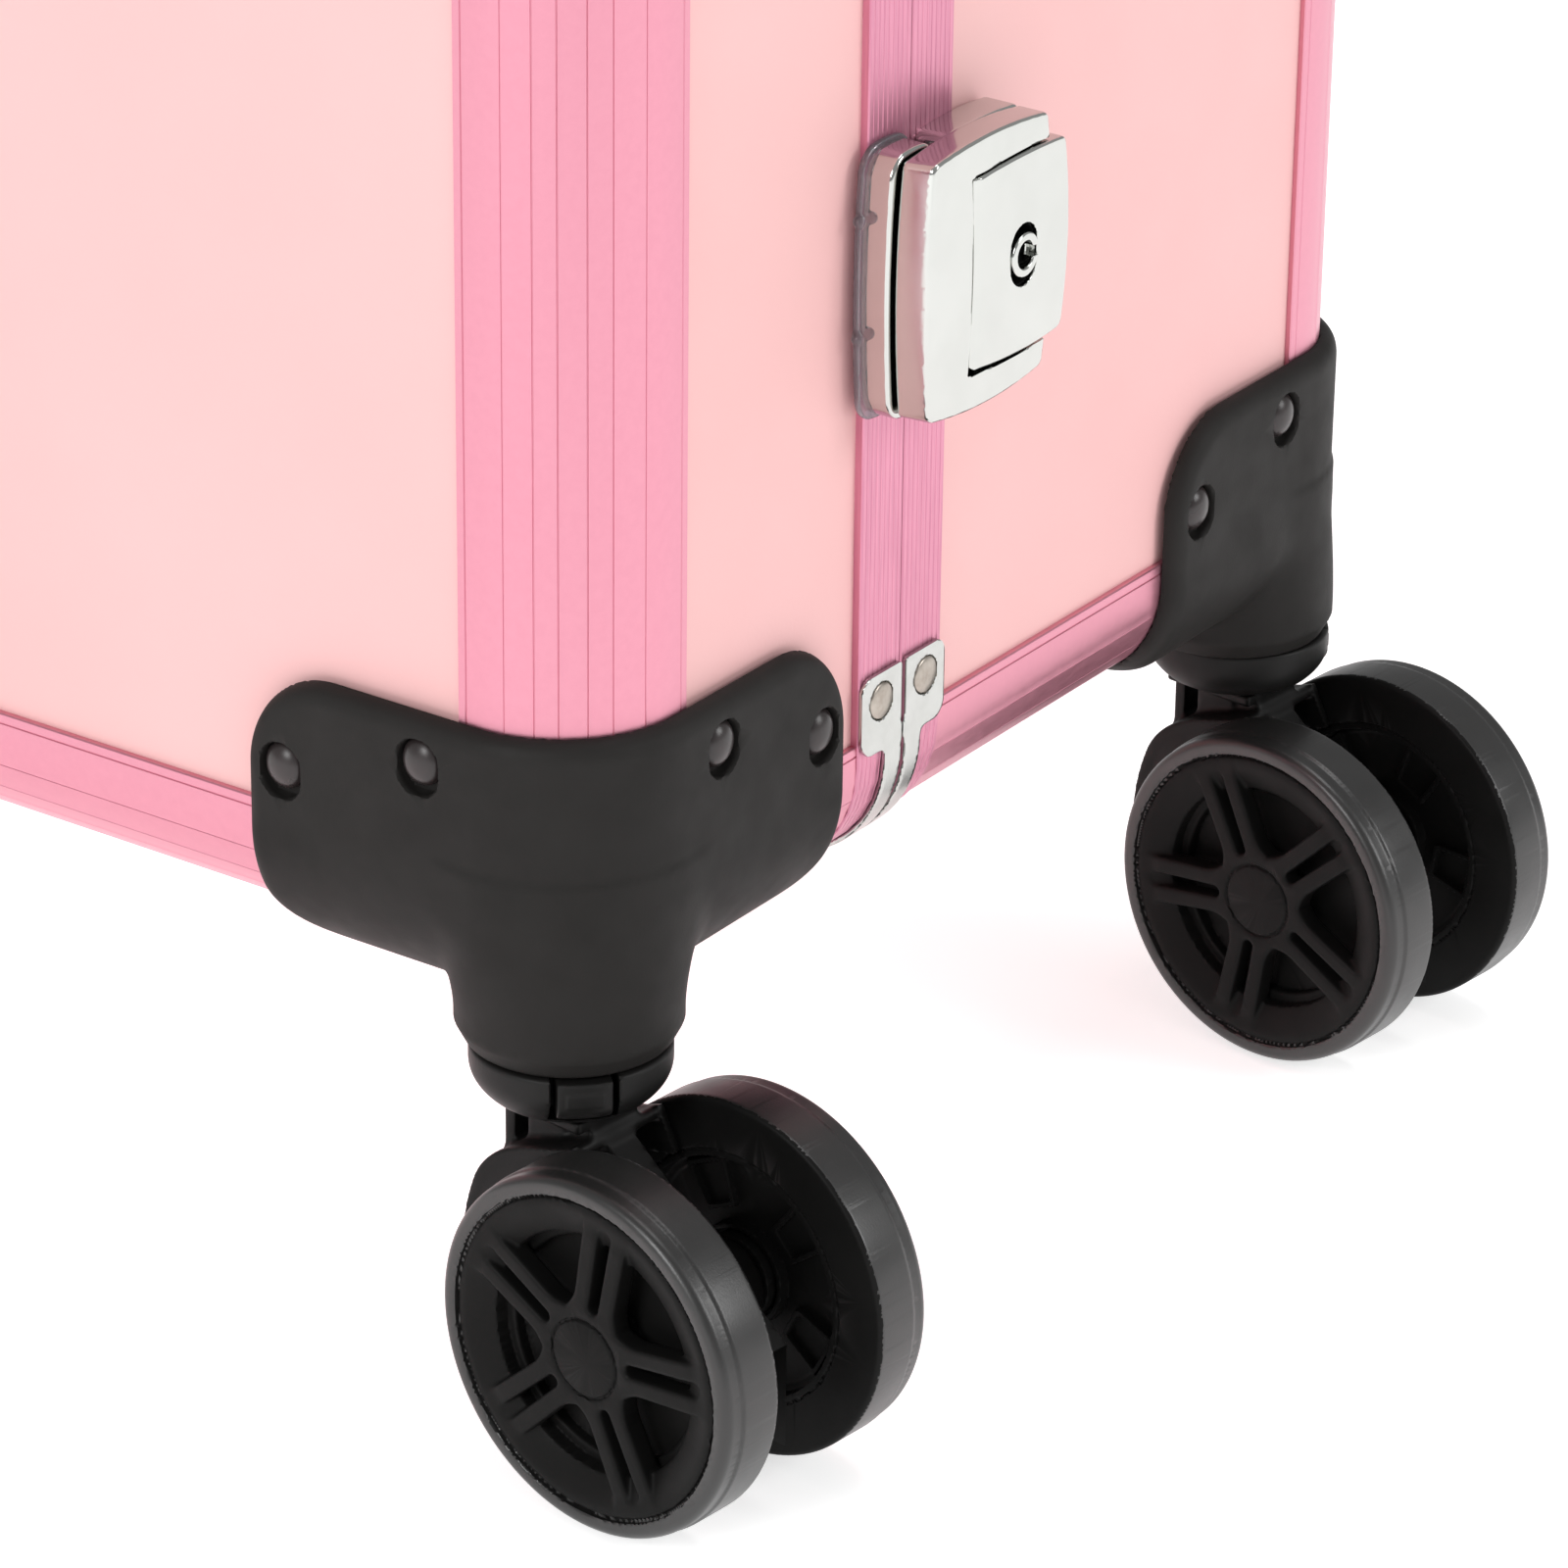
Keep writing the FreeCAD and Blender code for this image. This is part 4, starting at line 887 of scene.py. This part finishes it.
def clip_field(u, s, z):
    """A clip: u inward from the case's side, s away from the seam, z above the case's bottom."""
    wide, strap = 11.6, 4.7
    plate = rect_field(s, z, (0, wide), (23.6, 38.0), 0.7)
    outer_cut = np.maximum(s + z - 48.0, s - z + 14.0) * 0.707
    plate = smooth_max(plate, outer_cut, 0.8)
    band = np.maximum(np.abs(s - strap / 2) - strap / 2, np.maximum(z - 26, -9 - z))
    outline = smooth_min(plate, band, 1.8)
    beyond_u, beyond_z = np.maximum(EDGE_RADIUS - u, 0), np.maximum(EDGE_RADIUS - z, 0)
    depth = EDGE_RADIUS - np.hypot(beyond_u, beyond_z)
    depth = np.where(z > EDGE_RADIUS, u, depth)
    depth = np.where(u > EDGE_RADIUS, z, depth)
    sheet = np.maximum(-depth - 1.3, depth + 0.36)
    shape = smooth_max(np.maximum(sheet, u - 34), outline, 0.35)
    hole = np.maximum(np.hypot(s - RIVET_SEAM, z - RIVET_RISE) - 3.45, u + 0.7)
    return smooth_max(shape, -hole, 0.2)


def make_clips():
    """The silver clips at both ends of the seam, on both sides, with their rivets."""
    sheet = field_part((-1.6, -0.2, -1.6), (34, 12, 38.4), 0.35, clip_field)
    sheet = thinned("clip_shape", sheet, 0.5)
    stand = Matrix(((0, 0, -1, -0.7), (1, 0, 0, RIVET_SEAM), (0, 1, 0, RIVET_RISE), (0, 0, 0, 1)))
    head = moved(dome(3.2, 1.0), stand)
    for half, start, sign in (("lid", LID_BACK - 0.45, -1), ("base", BASE_FRONT + 0.45, 1)):
        places = []
        for side in (1, -1):
            for level, rise in ((BOTTOM, 1), (TOP, -1)):
                places.append(corner_matrix(side, start, sign, level, rise))
        node_name = half + "_corner_clips"
        piece = mesh_object(half + "_bent_clips", *joined([moved(sheet, m) for m in places]))
        finish_piece(piece, half, CLIP, [node_name])
        piece = mesh_object(half + "_clip_rivets", *joined([moved(head, m) for m in places]))
        finish_piece(piece, half, CLIP_RIVET, [node_name])


# ---------------------------------------------------------------- latches
# The fields take d, the distance out from the case's side, then y, and z from the latch's middle.
KEY_Y = -18.2
COVER_Y = (-44.5, -8.6)
PIVOT = (11.1, -29.5)  # the flap's axis: d, y


def make_latches():
    """Each latch: slabs on a clear base plate, a crowned cover, a flap and a key cylinder."""
    levels = {}
    for which in ("lower", "upper"):
        low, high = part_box(f"latch_{which}_body")
        levels[which] = Matrix.Translation((SIDE, 0, (low.z + high.z) / 2 / MM))
    shapes = {
        "cover": (((-1, -50, -25), (14.5, -4, 25)), 0.35, latch_body_field),
        "flap": (((7, -34, -18.5), (15, -3, 18.5)), 0.25, flap_field),
        "key": (((8.5, KEY_Y - 5, -5), (15.5, KEY_Y + 5, 5)), 0.15, key_field),
        "core": (((8.5, KEY_Y - 4, -4), (12.5, KEY_Y + 4, 4)), 0.15, core_field),
        "well": (((8.5, KEY_Y - 5, -7), (13.5, KEY_Y + 5, 7)), 0.25, well_field),
        "catch": (((-0.5, -49, -24.5), (7, -32, 24.5)), 0.3, catch_field),
        "plate": (((-0.5, -52, -26), (3.5, -32, 26)), 0.35, base_plate_field),
    }
    made = {}
    for name, ((low, high), step, field) in shapes.items():
        made[name] = thinned("latch_" + name, field_part(low, high, step, field), 0.5)
    for which, level in levels.items():
        name = "latch_" + which
        for piece_name, shape, body, slot, finish, replaced in (
            ("_chrome_body", "cover", "base", "latch", CHROME, name + "_body"),
            ("_chrome_flap", "flap", name + "_lever", "latch", CHROME, name + "_lever"),
            # The key socket and the key core take the near-black painted shade of the recess.
            ("_painted_shade_well", "well", name + "_lever", "latch", PAINTED_SHADE_BLACK, name + "_lever"),
            ("_key_ring", "key", name + "_key", "key_cylinder", CHROME, name + "_key_cylinder"),
            ("_key_core", "core", name + "_key", "key_cylinder", PAINTED_SHADE_BLACK, name + "_key_cylinder"),
        ):
            piece = mesh_object(name + piece_name, *moved(made[shape], level))
            finish_piece(piece, body, finish, [replaced])
    for name, shape, finish in (
        ("latch_chrome_catches", "catch", CHROME),
        ("latch_clear_plates", "plate", CLEAR),
    ):
        piece = mesh_object(name, *joined([moved(made[shape], level) for level in levels.values()]))
        finish_piece(piece, "lid", finish, ["latch_catches"])


def bulged(y, z, y_span, z_half, swell, radius):
    """A rounded rectangle whose sides draw in by swell towards their ends."""
    centre, half = (y_span[0] + y_span[1]) / 2, (y_span[1] - y_span[0]) / 2
    grow_y = swell * np.clip(np.abs(z) / z_half, 0, 1) ** 2
    grow_z = swell * np.clip(np.abs(y - centre) / half, 0, 1) ** 2
    qy = np.abs(y - centre) - half + grow_y + radius
    qz = np.abs(z) - z_half + grow_z + radius
    return rounded(qy, qz, radius)


def bow(height, place, half):
    """A bow of this height at 0, down to nothing half a length away."""
    return height * (1 - np.clip(np.abs(place) / half, 0, 1) ** 2)


def latch_body_field(d, y, z):
    """The part of a latch on the base: slab, neck, and the cover that also hides the catch."""
    slab = bulged(y, z, (LID_BACK + 0.6, COVER_Y[1]), 22.6, 0.8, 1.5)
    slab = smooth_max(slab, np.maximum(d - 6.4, -d), 0.8)
    neck = rect_field(y, z, (LID_BACK + 2.5, -10), (-21, 21), 2.0)
    neck = np.maximum(neck, np.abs(d - 6.7) - 0.9)
    flare = 0.2 * np.maximum(12.6 - d, 0)
    lean = np.clip((-26 - y) / 18, -0.3, 1) * flare
    outline = bulged(y + lean, z, COVER_Y, 23.4, 1.7, 1.2) + 0.12 * flare
    crown = 13.2 - 0.0011 * (y + 26) ** 2 - 0.0007 * z * z
    cover = smooth_max(outline, np.maximum(d - crown, 6.8 - d), 0.7)
    left = -32.7 + bow(0.5, z, 17.4)
    opening = np.maximum(np.maximum(left - y, np.abs(z) - 16.9 - bow(0.8, y + 18, 14)), 7.6 - d)
    swing = np.maximum(np.hypot(d - PIVOT[0], y - PIVOT[1]) - 2.9, np.abs(z) - 17.2)
    cover = smooth_max(cover, -np.minimum(opening, swing), 0.25)
    return np.minimum(np.minimum(slab, neck), cover)


def catch_field(d, y, z):
    """The slab on the lid beside the seam."""
    outline = bulged(y, z, (-46.7, LID_BACK - 0.2), 23.0, 1.2, 3.4)
    return smooth_max(outline, np.maximum(d - 6.3, 0.5 - d), 0.8)


def base_plate_field(d, y, z):
    """A clear moulded plate under the catch, with two small studs at its edge."""
    outline = bulged(y, z, (-48.1, LID_BACK - 0.3), 23.8, 1.2, 3.4)
    shape = smooth_max(outline, np.maximum(d - 1.6, 0.4 - d), 0.5)
    for level in (-8.2, 11.8):
        stud = np.sqrt((y + 48.0) ** 2 + (z - level) ** 2 + (d - 1.6) ** 2) - 1.1
        shape = smooth_min(shape, stud, 0.5)
    return shape


def flap_field(d, y, z):
    """The lever flap: bowed sides, slightly crowned face, an upright oval hole for the key."""
    z = z - 0.25
    left, right = -32.0 + bow(0.5, z, 17), -5.9 + bow(1.5, z, 17)
    ends = np.abs(z) - 16.4 - bow(0.8, y + 18, 14)
    outline = smooth_max(np.maximum(left - y, y - right), ends, 1.2)
    crown = 13.8 - 0.0016 * (y + 18) ** 2 - 0.0008 * z * z
    shape = smooth_max(outline, np.maximum(d - crown, 8.7 - d), 0.6)
    pivot = np.hypot(d - PIVOT[0], y - PIVOT[1]) - 2.5
    shape = np.where(y < PIVOT[1], np.maximum(shape, pivot), shape)
    oval = np.hypot(y - KEY_Y, np.maximum(np.abs(z + 0.25) - 1.6, 0)) - 3.8
    return smooth_max(shape, -oval, 0.25)


def well_field(d, y, z):
    """A socket behind the key's oval hole: a wall on a floor, clear of the key itself, made
    near-black as painted shade for the recess.
    """
    oval = np.hypot(y - KEY_Y, np.maximum(np.abs(z) - 1.5, 0))
    wall = np.maximum(np.abs(oval - 4.0) - 0.3, np.abs(d - 11.0) - 1.9)
    floor = np.maximum(oval - 4.2, np.abs(d - 9.3) - 0.25)
    key = np.where(d < 9.6, 9.0, np.hypot(y - KEY_Y, z) - 3.9)
    return np.maximum(np.minimum(wall, floor), -key)


def key_field(d, y, z):
    """The bright collar of the key cylinder, open on one side."""
    beside = y - KEY_Y
    ring = ring_field(np.hypot(beside, z), d, 2.35, 3.8, 9.7, 14.2, 0.35)
    gap = np.maximum(np.maximum(np.abs(z) - 0.9, 0.5 - beside), 12.4 - d)
    return smooth_max(ring, -gap, 0.2)


def core_field(d, y, z):
    """The core of the key cylinder, with its key slot; the core is chrome, and its near-black
    finish is painted shade.
    """
    beside = y - KEY_Y
    core = ring_field(np.hypot(beside, z), d, -2.4, 2.4, 9.7, 10.7, 0.2)
    slot = np.maximum(np.maximum(np.abs(beside) - 0.6, np.abs(z) - 1.8), 10.0 - d)
    return np.maximum(core, -slot)


# ---------------------------------------------------------------- plain CAD nodes
def paint(names, finish):
    """Gives CAD nodes that keep their shape a better material."""
    for name in names:
        mesh = frame["nodes"][name].data
        mesh.materials.clear()
        mesh.materials.append(finish)


def paint_nodes():
    """Materials for the CAD nodes that no piece stands for."""
    paint(["lid_front_panel", "lid_wall_panels", "base_back_panel", "base_wall_panels"], PANEL)
    paint(["lid_lining", "base_lining", "base_shelves"], LINING)
    paint(["hinge_base_leaf", "hinge_lid_leaf", "hinge_pin"], STEEL)
    paint([n for n in frame["nodes"] if n.endswith("_axle")], STEEL)
    paint(["handle_outer_tubes", "handle_inner_tubes"], TUBE)
    paint(["handle_housing", "handle_grip", "handle_button"], HANDLE)
    paint(["carry_handle", "carry_handle_mounts"], HANDLE)


# ---------------------------------------------------------------- floor, light and camera
LIGHTS = (  # name, place, size, power
    ("key_light", (0.1, -2.9, 1.7), 1.2, 44),
    ("side_light", (2.7, 0.9, 1.5), 1.2, 27),
    ("top_light", (0.4, 0.5, 3.2), 1.4, 21),
)
LIT = Vector((0.15, -0.1, 0.15))


def make_stage():
    """A pale floor and soft light from all round, brightest from the front left."""
    bpy.ops.mesh.primitive_plane_add(size=30, location=(0, 0, -0.0005))
    floor = bpy.context.object
    floor.name = "floor"
    white = {"Emission_Color": (1, 1, 1, 1), "Emission_Strength": 0.62}
    floor.data.materials.append(material("pale_floor", (0.9, 0.9, 0.9), 0.8, **white))
    world = bpy.data.worlds.new("studio")
    world.use_nodes = True
    sky = world.node_tree.nodes["Background"]
    sky.inputs["Color"].default_value = (1, 1, 1, 1)
    sky.inputs["Strength"].default_value = 0.4
    bpy.context.scene.world = world
    for name, place, size, power in LIGHTS:
        lamp = bpy.data.lights.new(name, "AREA")
        lamp.size = size
        lamp.energy = power
        light = bpy.data.objects.new(name, lamp)
        light.location = place
        light.rotation_euler = (LIT - light.location).to_track_quat("-Z", "Y").to_euler()
        bpy.context.scene.collection.objects.link(light)
    bpy.context.scene.view_settings.view_transform = "Standard"


def make_camera():
    """The camera, placed from the case's lower right front corner and aimed by its angles."""
    azimuth, elevation, roll = math.radians(34.82), math.radians(25.34), 0.0123
    corner = Vector((SIDE, FRONT, BOTTOM)) * MM
    place = corner + Vector((0.5767, -0.7760, 0.5055))
    flat = math.cos(elevation)
    forward = (-math.sin(azimuth) * flat, math.cos(azimuth) * flat, -math.sin(elevation))
    camera = bpy.data.objects.new("camera", bpy.data.cameras.new("camera"))
    camera.location = place
    camera.rotation_mode = "QUATERNION"
    level = Vector(forward).to_track_quat("-Z", "Y").to_matrix().to_4x4()
    camera.rotation_quaternion = (level @ Matrix.Rotation(roll, 4, "Z")).to_quaternion()
    camera.data.sensor_width = 36
    camera.data.lens = 157.1
    bpy.context.scene.collection.objects.link(camera)
    bpy.context.scene.camera = camera


make_trims()
make_seam_frames()
make_guards()
make_casters()
make_clips()
make_latches()
paint_nodes()
make_stage()
make_camera()
